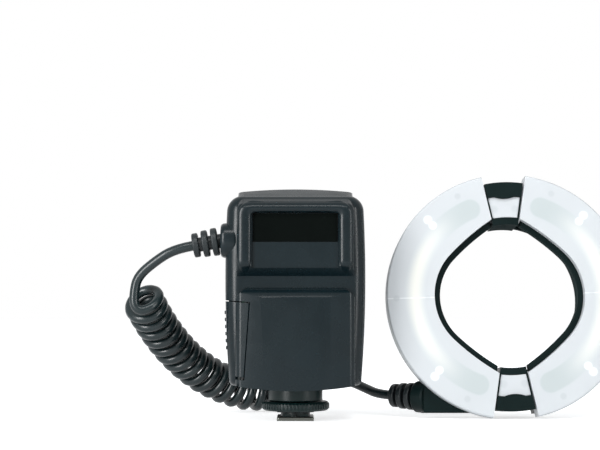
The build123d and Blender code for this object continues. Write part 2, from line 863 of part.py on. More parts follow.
def gap_wedge(inset):
    """The two facing wedges of the centre pieces, their edges moved outwards by an inset."""
    reach = 2 * head_radius
    half = reach * tan(radians(gap_angle))
    shift = inset / sin(radians(gap_angle))
    side = half + inset / cos(radians(gap_angle))
    wedge = make_face(Polyline((0, -shift), (side, reach), (-side, reach), (0, -shift)))
    return wedge + Rot(0, 0, 180) * wedge


def half_region(radius, offset, inset):
    """The right half of the head's face between its opening and its outer edge."""
    window = Pos(radius, 0) * Rectangle(2 * radius, 3 * radius)
    return (Circle(radius) - diamond(offset) - gap_wedge(inset)) & window


def sector(inner, outer, half_angle):
    """A ring-shaped band about +X."""
    x, y = cos(radians(half_angle)), sin(radians(half_angle))
    low_in, high_in = (inner * x, -inner * y), (inner * x, inner * y)
    low_out, high_out = (outer * x, -outer * y), (outer * x, outer * y)
    edges = [
        ThreePointArc(low_in, (inner, 0), high_in),
        Line(high_in, high_out),
        ThreePointArc(high_out, (outer, 0), low_out),
        Line(low_out, low_in),
    ]
    return make_face(edges)


def build_half():
    """The six pieces of the right half; the left half is the same, turned about."""
    parts = {}
    cover = prism_y(half_region(head_radius, lip_width, 0), head_front, skirt_back)
    outer_rim = cover.edges().filter_by(GeomType.CIRCLE).sort_by(Axis.Y)
    outer_rim = [e for e in outer_rim if abs(e.radius - head_radius) < tiny_gap][:1]
    cover = fillet(outer_rim, diffuser_edge)
    room = prism_y(half_region(head_radius - diffuser_wall, lip_width + diffuser_wall, diffuser_wall),
                   head_front + diffuser_wall, skirt_back + overrun)
    parts["diffuser"] = cover - room

    tub = prism_y(half_region(tub_radius, lip_width, 0), skirt_back, tub_back)
    tub_room = prism_y(half_region(tub_radius - wall, lip_width + wall, wall),
                       skirt_back - overrun, tub_back - wall)
    tub = tub - tub_room - rail_rods(rail_radius + shaft_gap)
    parts["rear_tub"] = tub

    lip = half_region(head_radius, 0, lip_end_inset) & diamond(lip_width - tiny_gap)
    parts["lip"] = prism_y(lip, lip_front, tub_back)

    deep = prism_y(sector(trough_inner, trough_outer, trough_angle), trough_front, trough_back)
    hollow = prism_y(sector(trough_inner + trough_wall, trough_outer - trough_wall, trough_angle),
                     trough_front - overrun, trough_back - trough_wall)
    posts = sector(trough_inner + trough_wall, trough_outer - trough_wall, post_angle)
    post = prism_y(posts, trough_back, tub_back - wall)
    parts["reflector"] = deep - hollow + post

    middle = (trough_inner + trough_outer) / 2
    reach = radians(trough_angle) - 2 * tube_radius / middle
    path = ThreePointArc((middle * cos(reach), -middle * sin(reach)), (middle, 0),
                         (middle * cos(reach), middle * sin(reach)))
    lamp_place = trough_back - trough_wall - tube_radius - tiny_gap
    path = Plane.XZ.offset(-lamp_place) * path
    section = Plane(path @ 0, z_dir=path % 0) * Circle(tube_radius)
    parts["flash_tube"] = sweep(section, path=path)

    board = sector(board_inner, board_outer, board_angle) - sector(trough_inner, trough_outer, slot_angle)
    board = prism_y(board, tub_back - wall - 2 * board_thickness, tub_back - wall - board_thickness)
    parts["trigger_board"] = board + prism_y(board_feet(), tub_back - wall - board_thickness, tub_back - wall)
    return parts


def board_feet():
    """Four round feet under a trigger board."""
    middle = (board_inner + board_outer) / 2
    spots = [Rot(0, 0, turn * board_foot_angle) * Pos(middle, 0) * Circle(tube_radius) for turn in (-1, 1)]
    return Sketch() + spots


def rail_rods(radius):
    """The slide rails: a round rod over and one under the opening."""
    rods = [rod_x(radius, rail_place, side * rail_height, -rail_half, rail_half) for side in (-1, 1)]
    return Compound(children=rods)


def centre_region(inner, outer, inset):
    """The part of the two centre wedges that lies between two radii."""
    return (Circle(outer) - Circle(inner)) & gap_wedge(-inset)


def upper(solid):
    """The upper one of a pair."""
    return solid & block((-head_radius, head_radius), (2 * head_front, -2 * head_front), (0, 2 * head_radius))


def lower(solid):
    """The lower one of a pair."""
    return solid & block((-head_radius, head_radius), (2 * head_front, -2 * head_front),
                         (-2 * head_radius, 0))


def build_base():
    """The centre base, its rails, windows, lamp boards and release buttons."""
    parts = {}
    back = prism_y(Circle(base_radius) - Circle(seat_radius), tub_back + part_gap, head_back)
    pillars = prism_y(centre_region(inner_wall_radius, base_radius, part_gap),
                      lamp_back + board_thickness, tub_back + part_gap)
    walls = prism_y(centre_region(inner_wall_radius, window_inner - tiny_gap, part_gap),
                    window_front - tiny_gap, tub_back + part_gap)
    cheeks = centre_region(inner_wall_radius, window_outer, part_gap)
    cheeks = cheeks - centre_region(window_inner - tiny_gap, window_outer + overrun, cheek_width)
    cheek = prism_y(cheeks, window_front - tiny_gap, tub_back + part_gap)
    base = back + pillars + walls + cheek
    base = base - rail_rods(rail_radius + shaft_gap)
    for turn in screw_turns:
        spot = Rot(0, 0, turn) * Pos(screw_ring, 0) * Circle(screw_radius + tiny_gap)
        base = base - prism_y(spot, head_back - screw_head, head_back + overrun)
    parts["ring_base"] = base

    parts["slide_rails"] = rail_rods(rail_radius)
    window = centre_region(window_inner, window_outer, cheek_width + tiny_gap)
    panes = prism_y(window, window_front, window_front + window_thickness)
    parts["top_led_window"] = upper(panes)
    parts["bottom_led_window"] = lower(panes)
    boards = prism_y(centre_region(window_inner, window_outer - overrun, cheek_width + tiny_gap),
                     lamp_back, lamp_back + board_thickness)
    lamp = Rectangle(led_size, led_size)
    spots = [(sx * led_spread, sz * led_radius) for sx in (-1, 1) for sz in (-1, 1)]
    lamps = Sketch() + [Pos(x, z) * lamp for x, z in spots]
    parts["led_boards"] = boards + prism_y(lamps, lamp_back - led_height, lamp_back)
    thumb_middle = thumb_radius + thumb_inner
    bulge = Sketch() + [Pos(0, side * thumb_middle) * Circle(thumb_radius) for side in (-1, 1)]
    plate = centre_region(window_outer - thumb_reach, cap_radius, cap_inset)
    plate = plate & (bulge + centre_region(window_outer, cap_radius, 0))
    plates = prism_y(plate, head_front + cap_sink, window_front - part_gap)
    stems = prism_y(centre_region(window_outer + release_travel + part_gap, cap_radius, cap_inset),
                    window_front - part_gap - tiny_gap, lamp_back + board_thickness - part_gap)
    caps = plates + stems
    parts["top_release_button"] = upper(caps)
    parts["bottom_release_button"] = lower(caps)
    screw = rod_y(screw_radius, screw_ring, 0, head_back - screw_head, head_back)
    screws = [Rot(0, -turn, 0) * screw for turn in screw_turns]
    slot = block((-screw_radius, screw_radius), (head_back - screw_head / 2, head_back + overrun),
                 (-tiny_gap, tiny_gap))
    heads = [s - Pos(s.center().X, 0, s.center().Z) * slot for s in screws]
    parts["head_screws"] = Compound(children=heads)
    return parts


def mouth_frame():
    """The horn's mouth in the head's frame, pointing back towards the unit."""
    place = Pos(-horn_mouth, (horn_front + tub_back) / 2, -horn_drop + horn_height / 2)
    return Rot(0, ring_roll, 0) * place * Rot(0, 0, -relief_yaw) * Rot(0, -90 + relief_rise, 0)


def build_horn():
    """The cable horn that hugs the left half, with the collar at its mouth."""
    low = -horn_drop
    outline = Polyline((-horn_mouth, low), (-horn_tip, low), (-horn_tip, low + wall),
                       (-horn_mouth / 2, low / 2), (-horn_mouth, low + horn_height), (-horn_mouth, low))
    level = Rot(0, 0, -ring_roll)
    profile = level * make_face(outline) - Circle(tub_radius + shaft_gap)
    horn = prism_y(profile, horn_front, tub_back)
    collar = Cylinder(collar_radius, collar_length + collar_root,
                      align=(Align.CENTER, Align.CENTER, Align.MIN))
    collar = fillet(collar.edges().filter_by(GeomType.CIRCLE), collar_edge)
    collar = mouth_frame() * Pos(0, 0, -collar_root) * collar
    diffuser_room = rod_y(head_radius + tiny_gap, 0, 0, head_front, skirt_back + tiny_gap)
    tub_room = rod_y(tub_radius + shaft_gap, 0, 0, skirt_back, head_back)
    return horn + collar - diffuser_room - tub_room


def ring_relief_frame():
    """Where the ring's strain relief starts: on the collar, pointing towards the unit."""
    return ring_frame() * mouth_frame() * Pos(0, 0, collar_length)


def ring_frame():
    """The head's place: standing on its lower corners, leaning back and a little turned."""
    lowest = head_radius * cos(radians(gap_angle - ring_roll)) * cos(radians(ring_lean))
    height = lowest + skirt_back * sin(radians(ring_lean))
    return Pos(ring_x, ring_y, height) * Rot(-ring_lean, 0, 0) * Rot(0, -ring_roll, 0)


def lead_radii(points):
    """The largest even bend at each inner point of a lead."""
    radii = []
    for before, here, after in zip(points, points[1:], points[2:]):
        run_in = Vector(*here) - Vector(*before)
        run_out = Vector(*after) - Vector(*here)
        half_turn = radians(run_in.get_angle(run_out)) / 2
        radii.append(bend_share * min(run_in.length, run_out.length) / tan(half_turn))
    return radii


def build_lead(points, name):
    """A straight lead: a tube along its runs, joined by tangent arcs."""
    radii = lead_radii(points)
    path = FilletPolyline(*points, radius=radii)
    section = Plane(path @ 0, z_dir=path % 0) * Circle(cord_diameter / 2)
    tube = sweep(section, path=path)
    expected = pi * (cord_diameter / 2) ** 2 * path.length
    print(name, "radii", [round(r, 1) for r in radii], "length", round(path.length, 1),
          "volume share", round(tube.volume / expected, 4))
    return tube


def coil_axis(share):
    """The line that the curls go round, as a cubic curve through its four hand-chosen places."""
    rest = 1 - share
    weights = (rest**3, 3 * rest**2 * share, 3 * rest * share**2, share**3)
    return sum((Vector(*place) * weight for place, weight in zip(coil_places, weights)), Vector())


def coil_frames(count):
    """Even steps along the coil's line, each with its direction and a side that doesn't twist."""
    fine = [coil_axis(i / coil_fineness) for i in range(coil_fineness + 1)]
    reach = [0.0]
    for a, b in zip(fine, fine[1:]):
        reach.append(reach[-1] + (b - a).length)
    places = []
    index = 0
    for step in range(count + 1):
        wanted = reach[-1] * step / count
        while index < coil_fineness - 1 and reach[index + 1] < wanted:
            index = index + 1
        part = (wanted - reach[index]) / (reach[index + 1] - reach[index])
        places.append(fine[index] + (fine[index + 1] - fine[index]) * part)
    side = Vector(-1, 0, 0)
    frames = []
    for i, place in enumerate(places):
        along = (places[min(i + 1, count)] - places[max(i - 1, 0)]).normalized()
        side = (side - along * side.dot(along)).normalized()
        frames.append((place, along, side))
    return frames, reach[-1]


def coil_points():
    """Points of the curls: so many to each turn, all round the coil's line."""
    count = coil_turns * coil_steps
    frames, length = coil_frames(count)
    points = []
    for i, (place, along, side) in enumerate(frames):
        turn = 2 * pi * i / coil_steps
        points.append(place + (side * cos(turn) + side.cross(along) * sin(turn)) * coil_radius)
    return points, length


def biarc(start, leaving, end, arriving):
    """Two arcs that join two places, with a given direction at each."""
    span = end - start
    both = leaving + arriving
    square = 2 * (1 - leaving.dot(arriving))
    across = span.dot(both)
    reach = (sqrt(across**2 + square * span.dot(span)) - across) / square
    first = start + leaving * reach
    last = end - arriving * reach
    middle = (first + last) * 0.5
    along = (last - first).normalized()
    return [Edge.make_tangent_arc(start, leaving, middle), Edge.make_tangent_arc(middle, along, end)]


def build_coil():
    """The curly cord: one unbroken tube along biarcs of half a turn, cut flat where it lies."""
    points, length = coil_points()
    half = coil_steps // 2
    lead_in = Vector(*unit_route[-1])
    into = (lead_in - Vector(*unit_route[-2])).normalized()
    lead_out = Vector(*ring_route[0])
    away = (Vector(*ring_route[1]) - lead_out).normalized()
    stops = [(lead_in + into * cord_diameter, into)]
    for i in range(half // 2, len(points) - half // 2, half):
        stops.append((points[i], (points[i + 1] - points[i - 1]).normalized()))
    stops.append((lead_out - away * cord_diameter, away))
    edges = [Edge.make_line(lead_in, stops[0][0])]
    for (a, leaving), (b, arriving) in zip(stops, stops[1:]):
        edges.extend(biarc(a, leaving, b, arriving))
    edges.append(Edge.make_line(stops[-1][0], lead_out))
    path = Wire(edges)
    section = Plane(lead_in, z_dir=into) * Circle(cord_diameter / 2)
    tube = sweep(section, path=path)
    samples = [path @ (i / (coil_turns * gap_samples)) for i in range(coil_turns * gap_samples + 1)]
    turn_length = path.length / (coil_turns * gap_samples)
    skip = int(pi * coil_radius / turn_length)
    nearest = path.length
    for i, here in enumerate(samples):
        for there in samples[i + skip:]:
            nearest = min(nearest, (here - there).length)
    print("coil turns", coil_turns, "along", round(length, 1), "pitch", round(length / coil_turns, 2),
          "cord", round(path.length, 1), "gap to itself", round(nearest - cord_diameter, 2),
          "arcs", len(edges),
          "least radius", round(min(e.radius for e in edges if e.geom_type == GeomType.CIRCLE), 2))
    expected = pi * (cord_diameter / 2) ** 2 * path.length
    print("coil volume share", round(tube.volume / expected, 4),
          "lowest", round(tube.bounding_box().min.Z, 2))
    floor = block((-2 * head_radius, 2 * head_radius), (-2 * head_radius, 2 * head_radius), (-head_radius, 0))
    return tube - floor


def build_window():
    """The dark window that fills the upper part of the hood's recess."""
    seat = hood_front + recess_depth
    half = recess_half_width - part_gap
    return block((-half, half), (seat, seat + window_thickness),
                 (window_bottom + part_gap, recess_top - part_gap))


def main():
    """Builds every piece and writes one file for each."""
    parts = {}
    outside, shell, door = build_casing()
    keys, cuts = build_keys()
    front, rear = build_shells(outside, shell, cuts)
    boss, spigot = build_boss()
    parts["front_shell"] = front
    parts["rear_shell"] = rear
    parts["transceiver_window"] = build_window()
    parts["battery_door"] = build_door(outside, door)
    parts["door_hinge_pin"] = build_hinge_pin()
    parts["battery_bay"] = build_bay()
    parts["battery_magazine"] = build_magazine()
    parts["aa_cells"] = build_cells()
    parts["bay_contacts"] = build_contacts()
    parts["main_board"], parts["flash_capacitor"], parts["step_up_transformer"] = build_inner_parts()
    parts["display_window"], parts["display_module"] = build_display()
    for name, key in keys.items():
        parts[name + "_key"] = key
    parts["socket_cover"] = build_cover()
    parts["flash_socket"] = build_socket()
    parts.update(build_foot())
    parts["cord_boss"] = (boss - outside) + spigot
    parts["unit_strain_relief"] = build_relief(unit_relief_frame()) - boss

    place = ring_frame()
    for side, turn in (("right", 0), ("left", 180)):
        for name, piece in build_half().items():
            parts[side + "_" + name] = place * Rot(0, turn, 0) * piece
    for name, piece in build_base().items():
        parts[name] = place * piece
    parts["cable_horn"] = place * build_horn()
    parts["ring_strain_relief"] = build_relief(ring_relief_frame())

    print("unit lead starts at", (unit_relief_frame() * Pos(0, 0, relief_length())).position)
    print("ring lead ends at", (ring_relief_frame() * Pos(0, 0, relief_length())).position,
          "heading", (ring_relief_frame() * Pos(0, 0, relief_length() + cord_diameter)).position)
    parts["unit_lead"] = build_lead(unit_route, "unit lead")
    parts["ring_lead"] = build_lead(ring_route, "ring lead")
    parts["cord_coil"] = build_coil()

    os.makedirs("parts", exist_ok=True)
    for name, piece in parts.items():
        export_step(piece, os.path.join("parts", name + ".step"))
    print(len(parts), "parts")


main()
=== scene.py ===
"""Macro ring flash: the looks of its control unit, its curly cord and its ring head.

Everything is in metres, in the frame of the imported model: the origin is the centre of the
hot-shoe foot's bottom face, +Z is up and the front of the unit faces -Y.
"""

from __future__ import annotations

import json
import logging
import math
from collections.abc import Callable
from dataclasses import dataclass, field
from enum import Enum

import bmesh
import bpy
import numpy as np
from mathutils import Euler, Matrix, Vector


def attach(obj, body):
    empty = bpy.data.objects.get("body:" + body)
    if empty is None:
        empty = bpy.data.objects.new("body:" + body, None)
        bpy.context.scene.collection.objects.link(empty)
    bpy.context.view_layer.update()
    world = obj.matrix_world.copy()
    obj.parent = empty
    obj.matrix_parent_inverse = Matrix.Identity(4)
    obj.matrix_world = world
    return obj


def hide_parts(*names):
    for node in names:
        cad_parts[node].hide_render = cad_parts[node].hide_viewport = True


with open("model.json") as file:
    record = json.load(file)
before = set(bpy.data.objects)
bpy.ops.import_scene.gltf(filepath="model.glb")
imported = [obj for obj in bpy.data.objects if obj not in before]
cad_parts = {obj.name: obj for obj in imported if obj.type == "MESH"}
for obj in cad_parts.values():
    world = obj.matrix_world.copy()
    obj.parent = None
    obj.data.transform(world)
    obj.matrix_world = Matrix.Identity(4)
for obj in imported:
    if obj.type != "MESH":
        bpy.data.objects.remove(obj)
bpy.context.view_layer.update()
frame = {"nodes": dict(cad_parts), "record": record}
log = logging.getLogger("ring_flash")

MM = 0.001
Colour = tuple[float, float, float]
Place = tuple[float, float, float]
Socket = bpy.types.NodeSocket

WHITE = (1.0, 1.0, 1.0, 1.0)

# Corners closer than this are one corner, and edges shorter than a sliver are dropped, in metres
MERGE = 1e-6
SLIVER = 1e-7


def srgb(red: int, green: int, blue: int) -> Colour:
    """Turns a colour as seen on a screen into the linear one that a shader takes.

    Args:
        red: The red part, from 0 to 255.
        green: The green part, from 0 to 255.
        blue: The blue part, from 0 to 255.

    Returns:
        The three linear parts, from 0 to 1.
    """
    parts = np.array([red, green, blue]) / 255.0
    low = parts / 12.92
    high = ((parts + 0.055) / 1.055) ** 2.4
    linear = np.where(parts <= 0.04045, low, high)
    return float(linear[0]), float(linear[1]), float(linear[2])


class Grain(Enum):
    """The kinds of fine surface that the pieces have."""

    SPARK = "spark-eroded moulding"
    BRUSHED = "brushed metal"
    SHEATH = "extruded sheath"
    POLISHED = "polished"


NOISE_SPAN = (0.3, 0.7)


class Shader:
    """A material being put together from nodes on Object coordinates."""

    def __init__(self, name: str) -> None:
        """Starts an empty material.

        Args:
            name: The material's name.
        """
        self.material = bpy.data.materials.new(name)
        self.material.use_nodes = True
        self.tree = self.material.node_tree
        self.tree.nodes.clear()
        self.output = self.node("ShaderNodeOutputMaterial")
        self.place = self.node("ShaderNodeTexCoord").outputs["Object"]

    def node(self, kind: str, **values: object) -> bpy.types.Node:
        """Adds a node and sets its own properties.

        Args:
            kind: The node's type.
            **values: Properties by name.

        Returns:
            The new node.
        """
        made = self.tree.nodes.new(kind)
        for key, value in values.items():
            setattr(made, key, value)
        return made

    def link(self, source: Socket, target: Socket) -> None:
        """Joins two sockets."""
        self.tree.links.new(source, target)

    def stretched(self, stretch: Place) -> Socket:
        """Object coordinates with each axis scaled.

        Args:
            stretch: The scale along X, Y and Z.

        Returns:
            The coordinate socket.
        """
        mapping = self.node("ShaderNodeMapping")
        mapping.inputs["Scale"].default_value = stretch
        self.link(self.place, mapping.inputs["Vector"])
        return mapping.outputs["Vector"]

    def noise(self, scale: float, detail: float = 3.0, place: Socket | None = None) -> Socket:
        """A noise value.

        Args:
            scale: Patches to the metre.
            detail: How many finer layers it has.
            place: Coordinates to use in place of the plain ones.

        Returns:
            The noise's value socket.
        """
        made = self.node("ShaderNodeTexNoise")
        made.inputs["Scale"].default_value = scale
        made.inputs["Detail"].default_value = detail
        self.link(place or self.place, made.inputs["Vector"])
        return made.outputs["Fac"]

    def ramp(self, value: Socket, low: float, high: float) -> Socket:
        """Maps the span that a noise mostly keeps to, NOISE_SPAN, to a chosen one.

        Args:
            value: The socket to map.
            low: What the span's lower end becomes.
            high: What the span's upper end becomes.

        Returns:
            The mapped socket.
        """
        made = self.node("ShaderNodeMapRange")
        made.inputs["From Min"].default_value = NOISE_SPAN[0]
        made.inputs["From Max"].default_value = NOISE_SPAN[1]
        made.inputs["To Min"].default_value = low
        made.inputs["To Max"].default_value = high
        self.link(value, made.inputs["Value"])
        return made.outputs["Result"]

    def blend(self, value: Socket, first: Colour, second: Colour) -> Socket:
        """Mixes two colours by a value.

        Args:
            value: The socket that says how much of the second.
            first: The colour at 0.
            second: The colour at 1.

        Returns:
            The colour socket.
        """
        made = self.node("ShaderNodeMix", data_type="RGBA")
        made.inputs["A"].default_value = (*first, 1.0)
        made.inputs["B"].default_value = (*second, 1.0)
        self.link(value, made.inputs["Factor"])
        return made.outputs["Result"]

    def maths(self, operation: str, first: object, second: object = 0.0) -> Socket:
        """Works out a value from two others.

        Args:
            operation: The name of the operation.
            first: A socket or a number.
            second: A socket or a number.

        Returns:
            The result's socket.
        """
        made = self.node("ShaderNodeMath", operation=operation)
        for socket, value in zip(made.inputs, (first, second)):
            if isinstance(value, (int, float)):
                socket.default_value = value
            else:
                self.link(value, socket)
        return made.outputs[0]

    def step(self, value: Socket, full: float, none: float) -> Socket:
        """A soft mask that is 1 at one value and 0 at another.

        Args:
            value: The socket to test.
            full: Where the mask is 1.
            none: Where the mask is 0.

        Returns:
            The mask's socket.
        """
        made = self.node("ShaderNodeMapRange", interpolation_type="SMOOTHSTEP")
        made.inputs["From Min"].default_value = none
        made.inputs["From Max"].default_value = full
        self.link(value, made.inputs["Value"])
        return made.outputs["Result"]

    def over(self, mask: Socket, under: Socket, colour: Colour) -> Socket:
        """Lays one colour over another where a mask says so.

        Args:
            mask: How much of the colour shows.
            under: The colour socket beneath.
            colour: The colour on top.

        Returns:
            The colour socket.
        """
        made = self.node("ShaderNodeMix", data_type="RGBA")
        made.inputs["B"].default_value = (*colour, 1.0)
        self.link(under, made.inputs["A"])
        self.link(mask, made.inputs["Factor"])
        return made.outputs["Result"]

    def bump(self, height: Socket, depth: float, strength: float) -> Socket:
        """A bump from a height.

        Args:
            height: The height socket.
            depth: How high 1 is, in metres.
            strength: How strongly it shows.

        Returns:
            The normal socket.
        """
        made = self.node("ShaderNodeBump")
        made.inputs["Strength"].default_value = strength
        made.inputs["Distance"].default_value = depth
        self.link(height, made.inputs["Height"])
        return made.outputs["Normal"]

    def principled(self, **values: object) -> bpy.types.Node:
        """Adds the main shader, sets its sockets and joins it to the output.

        Args:
            **values: Socket values, with underscores for spaces.

        Returns:
            The shader node.
        """
        made = self.node("ShaderNodeBsdfPrincipled")
        for key, value in values.items():
            made.inputs[key.replace("_", " ")].default_value = value
        self.link(made.outputs[0], self.output.inputs["Surface"])
        return made


# How pointed an edge is where the rub starts and where it is full
RUB_SPAN = (0.52, 0.60)
# A rubbed edge's colour is its own times the first value, plus the second
RUB_LIGHTER = (1.7, 0.01)
# How far the roughness goes either side of its mean, and how strongly the grain shows
GLOSS_SPREAD = 0.12
GRAIN_STRENGTH = 0.35
COAT_ROUGH = 0.08
# Patches, cells and fine grain to the metre, and how brushed metal is drawn out along X
PATCHES = 45.0
CELLS = 2600.0
SHEATH_GRAIN = 1800.0
BRUSHED_STRETCH = (40.0, 1400.0, 1400.0)


@dataclass(frozen=True)
class Finish:
    """A finish with its own grain, slight colour variation and edge wear.

    Attributes:
        name: The material's name.
        slot: The record's slot; not used.
        colour: The main colour.
        rough: The mean roughness.
        grain: The kind of fine surface.
        vary: How much darker and lighter the patches are.
        metallic: 1 for metal.
        depth: The grain's height in metres.
        worn: How much the edges are rubbed.
        coat: How much clear gloss lies over it.
        shine: How strongly it mirrors, where 0.5 is plain plastic.
    """

    name: str
    slot: str
    colour: Colour
    rough: float = 0.5
    grain: Grain = Grain.SPARK
    vary: float = 0.12
    metallic: float = 0.0
    depth: float = 0.00002
    worn: float = 0.25
    coat: float = 0.0
    shine: float = 0.28

    def build(self) -> bpy.types.Material:
        """Makes the material.

        Returns:
            The finished material.
        """
        shader = Shader(self.name)
        main = shader.principled(
            Metallic=self.metallic,
            Coat_Weight=self.coat,
            Coat_Roughness=COAT_ROUGH,
            Specular_IOR_Level=self.shine,
        )
        dark = tuple(c * (1 - self.vary) for c in self.colour)
        light = tuple(min(1.0, c * (1 + self.vary)) for c in self.colour)
        patches = shader.ramp(shader.noise(PATCHES, 4.0), 0.0, 1.0)
        tone = shader.blend(patches, dark, light)
        edge = shader.node("ShaderNodeNewGeometry").outputs["Pointiness"]
        rubbed = shader.node("ShaderNodeMapRange")
        rubbed.inputs["From Min"].default_value = RUB_SPAN[0]
        rubbed.inputs["From Max"].default_value = RUB_SPAN[1]
        rubbed.inputs["To Max"].default_value = self.worn
        shader.link(edge, rubbed.inputs["Value"])
        factor, extra = RUB_LIGHTER
        paler = tuple(min(1.0, c * factor + extra) for c in self.colour)
        shader.link(shader.over(rubbed.outputs["Result"], tone, paler), main.inputs["Base Color"])
        height, gloss = self.surface(shader)
        smooth, rough = self.rough * (1 - GLOSS_SPREAD), self.rough * (1 + GLOSS_SPREAD)
        shader.link(shader.ramp(gloss, smooth, rough), main.inputs["Roughness"])
        shader.link(shader.bump(height, self.depth, GRAIN_STRENGTH), main.inputs["Normal"])
        return shader.material

    def surface(self, shader: Shader) -> tuple[Socket, Socket]:
        """The grain's height and gloss patterns.

        Args:
            shader: The material being built.

        Returns:
            The height socket and the gloss socket.
        """
        if self.grain is Grain.BRUSHED:
            place = shader.stretched(BRUSHED_STRETCH)
            fine = shader.noise(1.0, 2.0, place)
            return fine, fine
        if self.grain is Grain.SHEATH:
            fine = shader.noise(SHEATH_GRAIN, 2.0)
            return fine, shader.noise(120.0, 3.0)
        if self.grain is Grain.POLISHED:
            return shader.noise(150.0, 1.0), shader.noise(300.0, 2.0)
        cells = shader.node("ShaderNodeTexVoronoi")
        cells.inputs["Scale"].default_value = CELLS
        shader.link(shader.place, cells.inputs["Vector"])
        return cells.outputs["Distance"], shader.noise(90.0, 3.0)


# The middle of the head's face, and how the head is turned
RING_PLACE = Vector((0.1097, 0.014, 0.061876))
RING_TURN = Matrix.Rotation(math.radians(-5.5), 3, "X") @ Matrix.Rotation(math.radians(-1.7), 3, "Y")


@dataclass(frozen=True)
class Spot:
    """A round mark on the frosted front: grey for a part that shows faintly through, near white for a painted
    glint.

    Attributes:
        across: Its distance from the head's middle line, on both sides, in millimetres.
        up: Its distance above and below the head's middle.
        radius: Its radius.
        colour: Its colour: grey for a part seen through the front, near white for a painted glint.
        share: How clearly it shows.
    """

    across: float
    up: float
    radius: float
    colour: Colour
    share: float


# Grey for parts seen through the front, and for the painted shade on the rim
SEEN_PART_AND_RIM_SHADE_GREY = srgb(176, 181, 184)
# Near white for the painted glints and for the pale seam
GLINT_AND_SEAM_WHITE = srgb(240, 242, 242)
HALF_SPOTS = (
    Spot(24.3, 52.1, 2.2, SEEN_PART_AND_RIM_SHADE_GREY, 0.75),
    Spot(58.0, 0.0, 2.2, SEEN_PART_AND_RIM_SHADE_GREY, 0.75),
    Spot(42.0, 0.0, 1.8, SEEN_PART_AND_RIM_SHADE_GREY, 0.35),
    # These two near white spots are painted glints
    Spot(40.2, 40.2, 2.8, GLINT_AND_SEAM_WHITE, 0.7),
    Spot(37.8, 37.2, 2.6, GLINT_AND_SEAM_WHITE, 0.8),
)
PANE_SPOTS = (Spot(5.3, 45.0, 2.6, SEEN_PART_AND_RIM_SHADE_GREY, 0.6),)
# The share of a spot's radius within which it is full
SPOT_CORE = 0.45


@dataclass(frozen=True)
class Trough:
    """The trough and its tube as they show through a half's front, with the seam and the painted shade on the
    rounded rim.

    Lengths are in millimetres and angles in degrees from the horizontal. A pair of values gives
    where a part is full and where it is gone.

    Attributes:
        middle: The radius of the trough's middle line.
        end: The angle at which the line ends.
        width: Half the trough's width.
        ends: The angles between which the greyer ends fade.
        tube: Half the tube's width.
        tube_ends: The angles between which the tube fades.
        seam: Half the width of the pale seam on the horizontal.
        rim: The radii between which the painted shade on the rounded rim fades.
        shown: How clearly the trough, its ends, the tube, the seam and the painted rim shade show.
    """

    middle: float = 48.5
    end: float = 68.0
    width: tuple[float, float] = (4.6, 5.9)
    ends: tuple[float, float] = (66.0, 36.0)
    tube: tuple[float, float] = (0.2, 5.6)
    tube_ends: tuple[float, float] = (20.0, 60.0)
    seam: tuple[float, float] = (0.1, 0.5)
    rim: tuple[float, float] = (62.9, 62.0)
    shown: tuple[float, float, float, float, float] = (0.35, 0.85, 0.7, 0.35, 0.7)


TROUGH = Trough()
TROUGH_TONE = srgb(190, 196, 198)
TROUGH_END_TONE = srgb(172, 180, 181)
TUBE_TONE = srgb(222, 221, 213)


